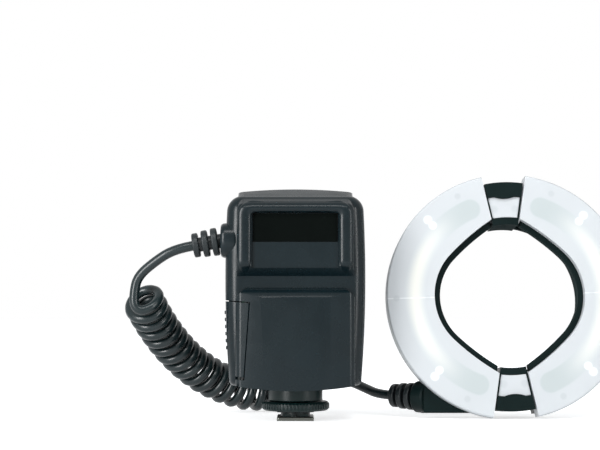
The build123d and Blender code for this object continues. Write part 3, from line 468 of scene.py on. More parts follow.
@dataclass(frozen=True)
class FrostedFinish:
    """White frosted plastic that lets what lies behind it show faintly, with a painted glow of its own.

    Attributes:
        name: The material's name.
        slot: The record's slot; not used.
        colour: The surface's colour.
        spots: Its round marks: parts that show through it and painted glints.
        trough: Whether the tube in its trough shows through it, with the seam and the painted rim shade.
        glow: How much light passes through and spreads.
        shine: The strength of its painted glow: light of its own in its surface colour, though it is no lamp.
        rough: Its roughness.
        vary: How much darker its patches are.
    """

    name: str
    slot: str
    colour: Colour
    spots: tuple[Spot, ...]
    trough: bool = False
    glow: float = 0.25
    shine: float = 0.1
    rough: float = 0.34
    vary: float = 0.025

    def build(self) -> bpy.types.Material:
        """Makes the material.

        Returns:
            The finished material.
        """
        shader = Shader(self.name)
        main = shader.principled(Roughness=self.rough, Specular_IOR_Level=0.3)
        tint = tuple(c * (1 - self.vary) for c in self.colour)
        tone = shader.blend(shader.ramp(shader.noise(60.0, 3.0), 0.0, 1.0), tint, self.colour)
        tone = self.shown(shader, tone)
        shader.link(tone, main.inputs["Base Color"])
        # Painted glow: the frosted front gives off light of its own in its colour, painted marks included
        shader.link(tone, main.inputs["Emission Color"])
        main.inputs["Emission Strength"].default_value = self.shine
        shader.link(shader.bump(shader.noise(2200.0, 2.0), 0.00001, 0.2), main.inputs["Normal"])
        through = shader.node("ShaderNodeBsdfTranslucent")
        shader.link(tone, through.inputs["Color"])
        soft = shader.node("ShaderNodeMixShader")
        soft.inputs["Fac"].default_value = self.glow
        shader.link(main.outputs[0], soft.inputs[1])
        shader.link(through.outputs[0], soft.inputs[2])
        shader.link(soft.outputs[0], shader.output.inputs["Surface"])
        return shader.material

    def shown(self, shader: Shader, tone: Socket) -> Socket:
        """Adds what shows through, the painted glints and the painted rim shade, placed from the head's own
        middle.

        Args:
            shader: The material being built.
            tone: The colour so far.

        Returns:
            The colour with what shows through.
        """
        local = shader.node("ShaderNodeMapping", vector_type="TEXTURE")
        local.inputs["Location"].default_value = RING_PLACE
        local.inputs["Rotation"].default_value = RING_TURN.to_euler("XYZ")
        shader.link(shader.place, local.inputs["Vector"])
        parts = shader.node("ShaderNodeSeparateXYZ")
        shader.link(local.outputs["Vector"], parts.inputs[0])
        across = shader.maths("ABSOLUTE", parts.outputs["X"])
        up = shader.maths("ABSOLUTE", parts.outputs["Z"])
        flat = shader.node("ShaderNodeCombineXYZ")
        shader.link(across, flat.inputs["X"])
        shader.link(up, flat.inputs["Z"])
        if self.trough:
            tone = self.tube(shader, tone, flat.outputs[0], across, up)
        # Round marks: grey parts seen through, and near white painted glints
        for spot in self.spots:
            away = self.away(shader, flat.outputs[0], spot.across, spot.up)
            within = shader.step(away, spot.radius * SPOT_CORE * MM, spot.radius * MM)
            tone = self.over_part(shader, within, spot.share, tone, spot.colour)
        return tone

    def away(self, shader: Shader, flat: Socket, across: float, up: float) -> Socket:
        """The distance from a place on the head's face.

        Args:
            shader: The material being built.
            flat: The place on the face.
            across: The middle's distance across, in millimetres.
            up: The middle's distance up.

        Returns:
            The distance's socket.
        """
        made = shader.node("ShaderNodeVectorMath", operation="DISTANCE")
        made.inputs[1].default_value = (across * MM, 0.0, up * MM)
        shader.link(flat, made.inputs[0])
        return made.outputs["Value"]

    def over_part(self, shader: Shader, mask: Socket, share: float, tone: Socket, colour: Colour) -> Socket:
        """Lays a share of one colour over another where a mask says so.

        Args:
            shader: The material being built.
            mask: Where the colour shows.
            share: How much of it shows there.
            tone: The colour beneath.
            colour: The colour on top.

        Returns:
            The colour socket.
        """
        return shader.over(shader.maths("MULTIPLY", mask, share), tone, colour)

    def tube(self, shader: Shader, tone: Socket, flat: Socket, across: Socket, up: Socket) -> Socket:
        """Shows the trough, which is greyer at its round ends, and the warm tube in it, with the seam and
        painted shade on the rounded rim.

        The trough's middle is an arc. The distance from it is |r - radius| beside the arc, and
        the distance from the arc's end beyond it.

        Args:
            shader: The material being built.
            tone: The colour so far.
            flat: The place on the face.
            across: How far it is across.
            up: How far it is up or down.

        Returns:
            The colour with the trough and the tube.
        """
        shape, end = TROUGH, math.radians(TROUGH.end)
        radius = self.away(shader, flat, 0.0, 0.0)
        beside = shader.maths("ABSOLUTE", shader.maths("SUBTRACT", radius, shape.middle * MM))
        beyond = self.away(shader, flat, shape.middle * math.cos(end), shape.middle * math.sin(end))
        turn = shader.maths("ARCTAN2", up, across)
        gap = shader.node("ShaderNodeMix", data_type="FLOAT")
        shader.link(shader.maths("LESS_THAN", turn, end), gap.inputs["Factor"])
        shader.link(beyond, gap.inputs["A"])
        shader.link(beside, gap.inputs["B"])
        away = gap.outputs["Result"]
        within = shader.step(away, *[width * MM for width in shape.width])
        at_ends = shader.maths("MULTIPLY", within, shader.step(turn, *map(math.radians, shape.ends)))
        lit = shader.step(turn, *map(math.radians, shape.tube_ends))
        warm = shader.maths("MULTIPLY", shader.step(away, *[width * MM for width in shape.tube]), lit)
        seam = shader.step(up, *[width * MM for width in shape.seam])
        # Painted shade: grey towards the outer rim, where the rounded edge turns from the light
        rim = shader.step(radius, *[place * MM for place in shape.rim])
        masks = (within, at_ends, warm, seam, rim)
        tones = (TROUGH_TONE, TROUGH_END_TONE, TUBE_TONE, GLINT_AND_SEAM_WHITE, SEEN_PART_AND_RIM_SHADE_GREY)
        for mask, share, colour in zip(masks, shape.shown, tones):
            tone = self.over_part(shader, mask, share, tone, colour)
        return tone


BODY = Finish(
    "body_moulding", "body_plastic", srgb(6, 18, 22), rough=0.27, depth=0.000006, worn=0.06, shine=0.2
)
KEYS = Finish("key_moulding", "key_plastic", srgb(22, 33, 37), rough=0.38, worn=0.1, shine=0.2)
WHEEL = Finish("wheel_moulding", "wheel_plastic", srgb(8, 26, 26), rough=0.32, worn=0.1, shine=0.2)
GLOSS = Finish(
    "window_gloss", "window_black", srgb(9, 12, 11), rough=0.07, grain=Grain.POLISHED, worn=0.0, shine=0.0
)
SHEATH = Finish(
    "cord_sheath", "cord_rubber", srgb(18, 29, 31), rough=0.27, grain=Grain.SHEATH, worn=0.0, shine=0.3
)
RELIEF = Finish("relief_rubber", "cord_rubber", srgb(20, 26, 28), rough=0.4, worn=0.3)
BLACK = Finish(
    "ring_moulding", "ring_black", srgb(9, 21, 21), rough=0.34, depth=0.000006, worn=0.06, shine=0.08
)
FOOT = Finish("plated_foot", "foot_metal", srgb(88, 90, 86), rough=0.34, grain=Grain.BRUSHED, metallic=1.0)
DARK_STEEL = Finish(
    "burnished_steel", "steel", srgb(34, 37, 37), rough=0.5, grain=Grain.BRUSHED, worn=0.0, shine=0.05
)
MATT = Finish("inner_wall", "ring_black", srgb(30, 40, 40), rough=0.8, worn=0.0, shine=0.02)
STEEL = Finish("ground_steel", "steel", srgb(120, 121, 120), rough=0.3, grain=Grain.BRUSHED, metallic=1.0)
GILT = Finish("gilt_contact", "brass", srgb(205, 178, 112), rough=0.25, grain=Grain.BRUSHED, metallic=1.0)
INNER = Finish("inner_moulding", "inner_plastic", srgb(30, 31, 32), rough=0.6)
SLEEVE = Finish("cell_sleeve", "cell_wrap", srgb(150, 154, 158), rough=0.3, grain=Grain.POLISHED)
TANK = Finish("capacitor_sleeve", "capacitor_wrap", srgb(30, 30, 38), rough=0.25, grain=Grain.POLISHED)
CORE = Finish("core_block", "transformer", srgb(52, 50, 48), rough=0.6)
BOARD = Finish("board_mask", "board_green", srgb(28, 92, 52), rough=0.35, grain=Grain.POLISHED, vary=0.25)
MIRROR = Finish("trough_mirror", "reflector", srgb(205, 210, 210), rough=0.35, grain=Grain.POLISHED, worn=0.0)
LAMP = Finish(
    "lamp_glass", "tube_glass", srgb(236, 233, 218), rough=0.12, grain=Grain.POLISHED, worn=0.0, coat=0.6
)
FROST = FrostedFinish("frosted_half", "diffuser_white", srgb(188, 192, 195), HALF_SPOTS, trough=True)
PANE = FrostedFinish("frosted_pane", "diffuser_white", srgb(188, 192, 195), PANE_SPOTS)



def smooth_mesh(name: str, points: np.ndarray, faces: np.ndarray) -> bpy.types.Mesh:
    """Makes a smoothly shaded mesh.

    Args:
        name: The mesh's name.
        points: Its corners in millimetres, one row each.
        faces: The four corners of each face, one row each.

    Returns:
        The mesh.
    """
    data = bpy.data.meshes.new(name)
    data.from_pydata((points * MM).tolist(), [], faces.tolist())
    data.polygons.foreach_set("use_smooth", np.ones(len(faces), bool))
    return data


class Dresser:
    """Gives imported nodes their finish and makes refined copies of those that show."""

    def __init__(self) -> None:
        """Starts with no materials made."""
        self.made: dict[str, bpy.types.Material] = {}

    def material(self, finish: Finish | FrostedFinish) -> bpy.types.Material:
        """Returns a finish's material, made once."""
        if finish.name not in self.made:
            self.made[finish.name] = finish.build()
        return self.made[finish.name]

    def paint(self, node: str, finish: Finish | FrostedFinish) -> None:
        """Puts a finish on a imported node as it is."""
        data = frame["nodes"][node].data
        data.materials.clear()
        data.materials.append(self.material(finish))
        log.info("painted %s with %s", node, finish.name)

    def refine(
        self,
        node: str,
        finish: Finish | FrostedFinish,
        edge: float = 0.3,
        angle: float = 32.0,
        shape: Callable[[bmesh.types.BMesh], None] | None = None,
    ) -> bpy.types.Object:
        """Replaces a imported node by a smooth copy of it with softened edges.

        Args:
            node: The node's name.
            finish: The finish it gets.
            edge: The width of the softened edges, in millimetres.
            angle: Edges sharper than this, in degrees, are softened.
            shape: What else is done to the copy's mesh.

        Returns:
            The copy.
        """
        source = frame["nodes"][node]
        data = source.data.copy()
        data.materials.clear()
        data.materials.append(self.material(finish))
        work = bmesh.new()
        work.from_mesh(data)
        bmesh.ops.remove_doubles(work, verts=work.verts, dist=MERGE)
        bmesh.ops.dissolve_degenerate(work, edges=work.edges, dist=SLIVER)
        if shape:
            shape(work)
        for face in work.faces:
            face.smooth = True
        work.to_mesh(data)
        work.free()
        piece = bpy.data.objects.new(node + "_dressed", data)
        bpy.context.scene.collection.objects.link(piece)
        if edge > 0:
            bevel = piece.modifiers.new("soft_edges", "BEVEL")
            bevel.width = edge * MM
            bevel.segments = 2
            bevel.limit_method = "ANGLE"
            bevel.angle_limit = math.radians(angle)
        data.set_sharp_from_angle(angle=math.radians(angle))
        weighted = piece.modifiers.new("even_shading", "WEIGHTED_NORMAL")
        weighted.keep_sharp = True
        self.attach(piece, frame_body(node))
        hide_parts(node)
        return piece

    def place(self, data: bpy.types.ID, body: str, finish: Finish | FrostedFinish) -> bpy.types.Object:
        """Makes a piece of a new mesh or curve and gives it its finish and its body.

        Args:
            data: The mesh or curve, whose name the piece takes.
            body: The body that it rides on.
            finish: The finish it gets.

        Returns:
            The piece.
        """
        data.materials.append(self.material(finish))
        piece = bpy.data.objects.new(data.name, data)
        bpy.context.scene.collection.objects.link(piece)
        self.attach(piece, body)
        return piece

    def attach(self, piece: bpy.types.Object, body: str) -> None:
        """Makes a piece ride on a body."""
        attach(piece, body)
        log.info("placed %s on %s", piece.name, body)


def frame_body(node: str) -> str:
    """Names the body that holds a node."""
    for body, members in frame["record"]["behaviour"]["bodies"].items():
        if node in members:
            return body
    raise KeyError(node)


@dataclass
class CurlyCord:
    """The cord: a straight lead from the unit, a long row of curls and a lead into the ring.

    Attributes:
        unit_route: Places of the lead that leaves the unit, in millimetres.
        places: The four places of the cubic curve that the curls go round.
        ring_route: Places of the lead that goes into the ring head.
        radius: The curls' radius at the sheath's middle.
        turns: How many curls there are.
        steps: How many points each curl has.
        fineness: How many steps the line is first worked out in.
        diameter: The sheath's diameter.
        length: The cord's real length from end to end; not used.
        rise: How far the line is lifted clear of the floor.
    """

    unit_route: tuple[Place, ...] = (
        (-51.1812, -15.5, 87.4995),
        (-60.536, -15.5, 85.85),
        (-70.6, -13.6, 79.6),
        (-79.4, -11.2, 72.2),
        (-81.0, -11.4, 64.0),
        (-80.9, -11.7, 57.6),
        (-77.8, -11.8, 54.9),
    )
    places: tuple[Place, ...] = (
        (-78.0, -7.0, 62.5),
        (-70.0, 18.0, 40.0),
        (-50.0, 52.0, 5.2),
        (-2.0, 52.0, 10.9),
    )
    ring_route: tuple[Place, ...] = (
        (-4.6, 51.6, 19.2),
        (-2.0, 54.6, 19.6),
        (2.2, 55.6, 19.8),
        (8.0, 54.4, 20.1),
        (14.0, 52.5, 20.0),
        (22.5, 48.0, 18.5),
        (30.6, 41.4, 16.5),
        (37.6, 34.2, 13.6),
        (43.826, 26.287, 11.006),
        (51.1815, 21.1003, 10.8743),
    )
    radius: float = 8.5
    turns: int = 18
    steps: int = 16
    fineness: int = 400
    diameter: float = 5.0
    length: float = 1060.0
    rise: float = 0.6

    def line(self) -> np.ndarray:
        """Even places along the line that the curls go round.

        A cubic curve that leaves the first place towards the second and reaches the last from
        the third: each place times its Bernstein weight.

        Returns:
            One row for each step of each curl, and one more.
        """
        share = np.linspace(0.0, 1.0, self.fineness + 1)[:, None]
        rest = 1.0 - share
        a, b, c, d = (np.array(place) for place in self.places)
        fine = rest**3 * a + 3 * rest**2 * share * b + 3 * rest * share**2 * c + share**3 * d
        reach = np.concatenate([[0.0], np.cumsum(np.linalg.norm(np.diff(fine, axis=0), axis=1))])
        wanted = np.linspace(0.0, reach[-1], self.turns * self.steps + 1)
        return np.stack([np.interp(wanted, reach, fine[:, axis]) for axis in range(3)], axis=1)

    def curls(self) -> np.ndarray:
        """The places of the curls.

        Each is its place on the line plus the radius times the side turned about the line.
        The side starts towards -X and is carried along without twist.

        Returns:
            One row for each place.
        """
        line = self.line()
        ahead = np.roll(line, -1, axis=0)
        behind = np.roll(line, 1, axis=0)
        ahead[-1], behind[0] = line[-1], line[0]
        along = ahead - behind
        along /= np.linalg.norm(along, axis=1)[:, None]
        side = np.array([-1.0, 0.0, 0.0])
        places = []
        for step, (place, way) in enumerate(zip(line, along)):
            side = side - way * side.dot(way)
            side /= np.linalg.norm(side)
            turn = 2 * math.pi * step / self.steps
            round_line = side * math.cos(turn) + np.cross(side, way) * math.sin(turn)
            places.append(place + round_line * self.radius)
        return np.array(places)

    def route(self) -> np.ndarray:
        """All of the cord's control places, in metres.

        Returns:
            One row for each control place.
        """
        curls = self.curls()[self.steps // 4 + 1 : -(self.steps // 4 + 3)]
        low = self.diameter / 2 + self.rise
        curls[:, 2] = np.maximum(curls[:, 2], low)
        return np.concatenate([self.unit_route, curls, self.ring_route]) * MM

    def build(self, dresser: Dresser) -> None:
        """Args:
            dresser: Holds the materials.
        """
        route = self.route()
        curve = bpy.data.curves.new("curly_cord", "CURVE")
        curve.dimensions = "3D"
        curve.resolution_u = 5
        curve.bevel_depth = self.diameter / 2 * MM
        curve.bevel_resolution = 4
        curve.use_fill_caps = True
        spline = curve.splines.new("NURBS")
        spline.points.add(len(route) - 1)
        spline.points.foreach_set("co", np.column_stack([route, np.ones(len(route))]).ravel())
        spline.order_u = 3
        spline.use_endpoint_u = True
        spline.use_smooth = True
        piece = dresser.place(curve, "unit", SHEATH)
        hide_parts("unit_lead", "cord_coil", "ring_lead")
        for relief in ("unit_strain_relief", "ring_strain_relief"):
            dresser.refine(relief, RELIEF, 0.3)


@dataclass(frozen=True)
class Lamp:
    """A soft rectangular lamp.

    Attributes:
        name: Its name.
        place: Where it hangs, in metres.
        power: Its power in watts.
        size: Its width and height in metres.
    """

    name: str
    place: Place
    power: float
    size: tuple[float, float]


@dataclass
class Studio:
    """The pale floor, the soft lamps, the white surround and the camera.

    Attributes:
        eye: The camera's place in metres.
        tilt: How far the camera looks up, in degrees.
        lens: Its lens in millimetres.
        sensor: The width of its film in millimetres.
        surround: How bright the surround is for the light that falls on the object.
        surround_tint: The colour of that light.
        floor_reach: How far the floor goes each way from the origin, in metres.
        floor_tone: The floor's colour.
        floor_glow: The floor's own light, to the eye and in reflections only.
        lamps: The lamps.
        aim: What the lamps point at.
    """

    eye: Place = (0.0023, -0.680, 0.056)
    tilt: float = 3.61
    lens: float = 79.8
    sensor: float = 36.0
    surround: float = 0.42
    surround_tint: Colour = (0.93, 0.97, 1.0)
    floor_reach: float = 6.0
    floor_tone: Colour = (0.86, 0.87, 0.88)
    floor_glow: float = 0.62
    lamps: tuple[Lamp, ...] = (
        Lamp("left_bank", (-0.86, -1.00, 0.24), 30.0, (0.40, 1.1)),
        Lamp("right_bank", (1.25, -1.10, 0.24), 13.0, (0.25, 1.1)),
        Lamp("top_bank", (0.0, -0.95, 1.2), 12.0, (1.1, 0.26)),
    )
    aim: Place = (0.03, 0.0, 0.06)

    def camera(self) -> None:
        """Places the camera at the photograph's view."""
        data = bpy.data.cameras.new("view_camera")
        data.lens = self.lens
        data.sensor_width = self.sensor
        data.clip_start = 0.01
        data.clip_end = 50.0
        camera = bpy.data.objects.new("view_camera", data)
        camera.location = self.eye
        camera.rotation_euler = Euler((math.radians(90.0 + self.tilt), 0.0, 0.0))
        bpy.context.scene.collection.objects.link(camera)
        bpy.context.scene.camera = camera

    def seen(self, tree: bpy.types.NodeTree) -> Socket:
        """Says whether a ray comes from the camera, a reflection or a clear part.

        Args:
            tree: The node tree to add to.

        Returns:
            A socket that is 1 for such a ray.
        """
        path = tree.nodes.new("ShaderNodeLightPath")
        total = path.outputs["Is Camera Ray"]
        for name in ("Is Glossy Ray", "Is Transmission Ray"):
            add = tree.nodes.new("ShaderNodeMath")
            add.operation = "ADD"
            add.use_clamp = True
            tree.links.new(total, add.inputs[0])
            tree.links.new(path.outputs[name], add.inputs[1])
            total = add.outputs[0]
        return total

    def world(self) -> None:
        """Makes the surround white to the eye and softer for the object."""
        world = bpy.data.worlds.new("white_surround")
        world.use_nodes = True
        bpy.context.scene.world = world
        tree = world.node_tree
        tree.nodes.clear()
        soft = tree.nodes.new("ShaderNodeBackground")
        soft.inputs["Color"].default_value = (*self.surround_tint, 1.0)
        soft.inputs["Strength"].default_value = self.surround
        white = tree.nodes.new("ShaderNodeBackground")
        white.inputs["Color"].default_value = WHITE
        white.inputs["Strength"].default_value = 1.0
        mixed = tree.nodes.new("ShaderNodeMixShader")
        tree.links.new(self.seen(tree), mixed.inputs["Fac"])
        tree.links.new(soft.outputs[0], mixed.inputs[1])
        tree.links.new(white.outputs[0], mixed.inputs[2])
        output = tree.nodes.new("ShaderNodeOutputWorld")
        tree.links.new(mixed.outputs[0], output.inputs["Surface"])

    def floor(self) -> None:
        """Lays a pale floor that keeps the object's shadow."""
        data = bpy.data.meshes.new("studio_floor")
        reach = self.floor_reach
        corners = [(-reach, -reach, 0), (reach, -reach, 0), (reach, reach, 0), (-reach, reach, 0)]
        data.from_pydata(corners, [], [(0, 1, 2, 3)])
        material = bpy.data.materials.new("floor_white")
        material.use_nodes = True
        tree = material.node_tree
        main = tree.nodes["Principled BSDF"]
        main.inputs["Base Color"].default_value = (*self.floor_tone, 1.0)
        main.inputs["Roughness"].default_value = 0.6
        main.inputs["Specular IOR Level"].default_value = 0.1
        main.inputs["Emission Color"].default_value = WHITE
        glow = tree.nodes.new("ShaderNodeMath")
        glow.operation = "MULTIPLY"
        glow.inputs[1].default_value = self.floor_glow
        tree.links.new(self.seen(tree), glow.inputs[0])
        tree.links.new(glow.outputs[0], main.inputs["Emission Strength"])
        data.materials.append(material)
        floor = bpy.data.objects.new("studio_floor", data)
        bpy.context.scene.collection.objects.link(floor)

    def hang(self, lamp: Lamp) -> None:
        """Hangs one lamp, turned towards the aim.

        Args:
            lamp: The lamp's facts.
        """
        data = bpy.data.lights.new(lamp.name, "AREA")
        data.shape = "RECTANGLE"
        data.size, data.size_y = lamp.size
        data.energy = lamp.power
        hung = bpy.data.objects.new(lamp.name, data)
        hung.location = lamp.place
        sight = Vector(self.aim) - Vector(lamp.place)
        hung.rotation_euler = sight.to_track_quat("-Z", "Y").to_euler()
        bpy.context.scene.collection.objects.link(hung)

    def build(self) -> None:
        """Sets the whole studio up."""
        self.camera()
        self.world()
        self.floor()
        for lamp in self.lamps:
            self.hang(lamp)
        bpy.context.scene.view_settings.view_transform = "Standard"


@dataclass
class HoodRail:
    """The fat rounded rail that frames the hood's recess: up one side, over the brow and down the other.

    Attributes:
        half_across: How far the uprights' middles are from the unit's middle, in millimetres.
        brow: The height of the part over the window.
        foot: The height where the uprights end.
        corner: The radius of the two corners.
        half_width: Half the uprights' width.
        brow_half_width: Half the brow's width.
        crown: How far it stands out.
        face: Where the hood's face lies.
        slope: The height where the face starts to slope back below, and the slope's height and depth.
        roll: The height where it starts to roll back above, and how much higher the roll goes.
        roll_radius: The roll's radius.
        fade: The share of the rail's length over which each end dies away.
        end_width: The share of its width that is left at an end.
        tuck: How far its rims go into the face.
        rows: How many places an upright and the brow have each, and a corner.
        count: How many places there are across it.
    """

    half_across: float = 24.9
    brow: float = 106.2
    foot: float = 73.5
    corner: float = 4.6
    half_width: float = 3.3
    brow_half_width: float = 2.7
    crown: float = 1.35
    face: float = -31.0
    slope: tuple[float, float, float] = (77.0, 6.0, 5.5)
    roll: tuple[float, float] = (105.0, 3.5)
    roll_radius: float = 3.2
    fade: float = 0.055
    end_width: float = 0.55
    tuck: float = 0.12
    rows: tuple[int, int] = (60, 24)
    count: int = 25

    def path(self) -> tuple[np.ndarray, np.ndarray]:
        """The rail's middle line in X and Z, with its outward side at each place.

        Returns:
            The places and the sides, one row each.
        """
        low, high, out = self.foot, self.brow - self.corner, self.half_across - self.corner
        straight, bent = self.rows
        rise = np.linspace(low, high, straight)
        turn = np.linspace(math.pi, math.pi / 2, bent)[1:]
        left = np.column_stack([np.full_like(rise, -self.half_across), rise])
        bend = np.column_stack([-out + self.corner * np.cos(turn), high + self.corner * np.sin(turn)])
        left_side = np.column_stack([-np.ones_like(rise), np.zeros_like(rise)])
        bend_side = np.column_stack([np.cos(turn), np.sin(turn)])
        half = np.concatenate([left, bend])
        half_side = np.concatenate([left_side, bend_side])
        over = np.linspace(-out, out, straight)[1:-1]
        middle = np.column_stack([over, np.full_like(over, self.brow)])
        middle_side = np.column_stack([np.zeros_like(over), np.ones_like(over)])
        flip = np.array([-1.0, 1.0])
        places = np.concatenate([half, middle, (half * flip)[::-1]])
        sides = np.concatenate([half_side, middle_side, (half_side * flip)[::-1]])
        return places, sides

    def base(self, height: np.ndarray) -> np.ndarray:
        """The hood's own surface at each height.

        It is flat in the middle, slopes back evenly below, and rolls back above by the square of
        the height over twice the roll's radius.

        Args:
            height: The heights in millimetres.

        Returns:
            How far along Y the surface lies.
        """
        foot, fall, depth = self.slope
        slope = np.clip(foot - height, 0.0, fall) * depth / fall
        start, reach = self.roll
        roll = np.clip(height - start, 0.0, reach) ** 2 / (2 * self.roll_radius)
        return self.face + slope + roll

    def build(self, dresser: Dresser) -> None:
        """Makes the rail as one swept grid.

        Across it the height is the crown times (1 - s^2)^0.5, where s runs from -1 to 1.

        Args:
            dresser: Holds the materials.
        """
        places, sides = self.path()
        across = np.sin(np.linspace(-math.pi / 2, math.pi / 2, self.count))
        profile = np.sqrt(np.clip(1.0 - across**2, 0.0, 1.0))
        along = np.linspace(0.0, 1.0, len(places))
        fade = np.clip(np.minimum(along, 1.0 - along) / self.fade, 0.0, 1.0)
        fade = fade * fade * (3 - 2 * fade)
        width = self.widths(sides) * (self.end_width + (1 - self.end_width) * fade)
        points = places[:, None, :] + sides[:, None, :] * (across * width[:, None])[:, :, None]
        raised = (self.crown * profile)[None, :] * fade[:, None]
        depth = self.base(points[:, :, 1]) - raised + self.tuck * (1 - profile)
        grid = np.stack([points[:, :, 0], depth, points[:, :, 1]], axis=2).reshape(-1, 3)
        row = np.arange(len(places) - 1)[:, None] * self.count
        first = (row + np.arange(self.count - 1)[None, :]).ravel()
        faces = np.column_stack([first, first + 1, first + self.count + 1, first + self.count])
        dresser.place(smooth_mesh("hood_rail", grid, faces), "unit", BODY)

    def widths(self, sides: np.ndarray) -> np.ndarray:
        """Half the rail's width at each place: its mean over 17 places, so that it changes gently.

        Args:
            sides: The outward side at each place.

        Returns:
            The half widths in millimetres.
        """
        reach = 8
        near = 2 * reach + 1
        upwards = np.abs(sides[:, 1]) > 0.999
        width = np.where(upwards, self.brow_half_width, self.half_width)
        return np.convolve(np.pad(width, reach, "edge"), np.ones(near) / near, "valid")


@dataclass
class BossCollar:
    """The oval cushion that carries the cord boss round the casing's front corner.

    Attributes:
        middle: Its middle in Y and Z, in millimetres.
        reach: How far it reaches in Y and Z.
        outline: Its places along X, each with its share of the full reach.
        power: How square the oval is, where 2 is an ellipse.
        count: How many places each ring has.
    """

    middle: tuple[float, float] = (-16.9, 90.0)
    reach: tuple[float, float] = (9.7, 8.7)
    outline: tuple[tuple[float, float], ...] = (
        (-28.6, 0.90),
        (-29.0, 0.96),
        (-29.8, 0.99),
        (-31.0, 1.0),
        (-34.8, 1.0),
        (-35.8, 0.985),
        (-36.6, 0.94),
        (-37.03, 0.87),
        (-37.05, 0.0),
    )
    power: float = 2.4
    count: int = 96

    def build(self, dresser: Dresser) -> None:
        """Makes it as one grid of rounded rings, each |y|^power + |z|^power = 1 times its reach.

        Args:
            dresser: Holds the materials.
        """
        turn = np.linspace(0.0, 2 * math.pi, self.count, endpoint=False)
        power = 2 / self.power
        across = np.sign(np.cos(turn)) * np.abs(np.cos(turn)) ** power
        up = np.sign(np.sin(turn)) * np.abs(np.sin(turn)) ** power
        rings = []
        for place, share in self.outline:
            y = self.middle[0] + across * self.reach[0] * share
            z = self.middle[1] + up * self.reach[1] * share
            rings.append(np.column_stack([np.full_like(y, place), y, z]))
        row = np.arange(len(rings) - 1)[:, None] * self.count
        here = np.arange(self.count)[None, :]
        after = (here + 1) % self.count
        corners = [row + here, row + after, row + self.count + after, row + self.count + here]
        faces = np.column_stack([corner.ravel() for corner in corners])
        data = smooth_mesh("boss_collar", np.concatenate(rings), faces)
        work = bmesh.new()
        work.from_mesh(data)
        bmesh.ops.remove_doubles(work, verts=work.verts, dist=SLIVER)
        bmesh.ops.recalc_face_normals(work, faces=work.faces)
        work.to_mesh(data)
        work.free()
        data.set_sharp_from_angle(angle=math.radians(40))
        dresser.place(data, "unit", BODY)


@dataclass
class ControlUnit:
    """The control unit with its hood, door, keys, neck, lock wheel and foot.

    Attributes:
        painted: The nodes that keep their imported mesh, with their finishes.
        refined: The nodes that get a refined copy, with their finishes and edge widths.
        hood_face: Where the hood's face lies along Y, in millimetres.
        recess_half: Half the recess's width.
        recess_foot: The height above which the recess's upright edges are rounded.
        recess_top: The height of its upper edge.
        near: How close to these an edge has to lie.
        round_over: How far the recess's edges are rounded.
        round_steps: In how many steps.
        flat: Faces that turn by less than this, in degrees, are joined first.
        plate_top: The height up to which the foot is bare metal.
    """

    painted: dict[str, Finish | FrostedFinish] = field(
        default_factory=lambda: {
            "battery_bay": INNER,
            "battery_magazine": INNER,
            "aa_cells": SLEEVE,
            "bay_contacts": STEEL,
            "door_hinge_pin": DARK_STEEL,
            "main_board": BOARD,
            "flash_capacitor": TANK,
            "step_up_transformer": CORE,
            "display_window": GLOSS,
            "display_module": INNER,
            "flash_socket": INNER,
            "contact_block": INNER,
            "centre_contact_pin": GILT,
            "front_contact_pin": GILT,
            "left_contact_pin": GILT,
            "right_contact_pin": GILT,
            "lock_pin": DARK_STEEL,
        }
    )
    refined: dict[str, tuple[Finish | FrostedFinish, float]] = field(
        default_factory=lambda: {
            "rear_shell": (BODY, 0.35),
            "transceiver_window": (GLOSS, 0.3),
            "battery_door": (BODY, 0.3),
            "socket_cover": (BODY, 0.3),
            "neck_collar": (WHEEL, 0.4),
            "lock_wheel": (WHEEL, 0.12),
            "pressure_plate": (DARK_STEEL, 0.15),
            "cord_boss": (BODY, 0.4),
            "set_key": (KEYS, 0.35),
            "up_key": (KEYS, 0.35),
            "down_key": (KEYS, 0.35),
            "left_key": (KEYS, 0.35),
            "right_key": (KEYS, 0.35),
            "power_key": (KEYS, 0.35),
            "pilot_key": (KEYS, 0.35),
        }
    )
    hood_face: float = -31.0
    recess_half: float = 21.0
    recess_foot: float = 75.9
    recess_top: float = 103.1
    near: float = 0.05
    round_over: float = 1.6
    round_steps: int = 6
    flat: float = 0.4
    plate_top: float = 2.05

    def soften_hood(self, work: bmesh.types.BMesh) -> None:
        """Rounds the recess's upright edges and its upper edge into fat rails.

        Args:
            work: The front shell's mesh.
        """
        bmesh.ops.dissolve_limit(
            work,
            angle_limit=math.radians(self.flat),
            verts=work.verts[:],
            edges=work.edges[:],
            delimit={"NORMAL"},
        )
        top = self.recess_top
        chosen = []
        for rim in work.edges:
            ends = [vert.co / MM for vert in rim.verts]
            on_face = all(abs(end.y - self.hood_face) < self.near for end in ends)
            at_side = all(abs(abs(end.x) - self.recess_half) < self.near for end in ends)
            upright = at_side and all(self.recess_foot < end.z < top + self.near for end in ends)
            within = all(abs(end.x) < self.recess_half + self.near for end in ends)
            across = within and all(abs(end.z - top) < self.near for end in ends)
            if on_face and (upright or across):
                chosen.append(rim)
        log.info("rounded %d edges of the recess", len(chosen))
        bmesh.ops.bevel(
            work,
            geom=chosen,
            offset=self.round_over * MM,
            segments=self.round_steps,
            profile=0.5,
            affect="EDGES",
        )

    def build(self, dresser: Dresser) -> None:
        """Dresses every node of the unit and adds its rail and its collar.

        Args:
            dresser: Holds the materials.
        """
        for node, finish in self.painted.items():
            dresser.paint(node, finish)
        for node, (finish, edge) in self.refined.items():
            dresser.refine(node, finish, edge)
        dresser.refine("front_shell", BODY, 0.35, shape=self.soften_hood)
        HoodRail().build(dresser)
        BossCollar().build(dresser)
        self.darken_foot(dresser)

    def darken_foot(self, dresser: Dresser) -> None:
        """Leaves bare metal only on the foot's plate, under its dark block.

        Args:
            dresser: Holds the materials.
        """
        foot = dresser.refine("shoe_foot", FOOT, 0.2)
        foot.data.materials.append(dresser.material(WHEEL))
        for face in foot.data.polygons:
            if face.center.z > self.plate_top * MM:
                face.material_index = 1


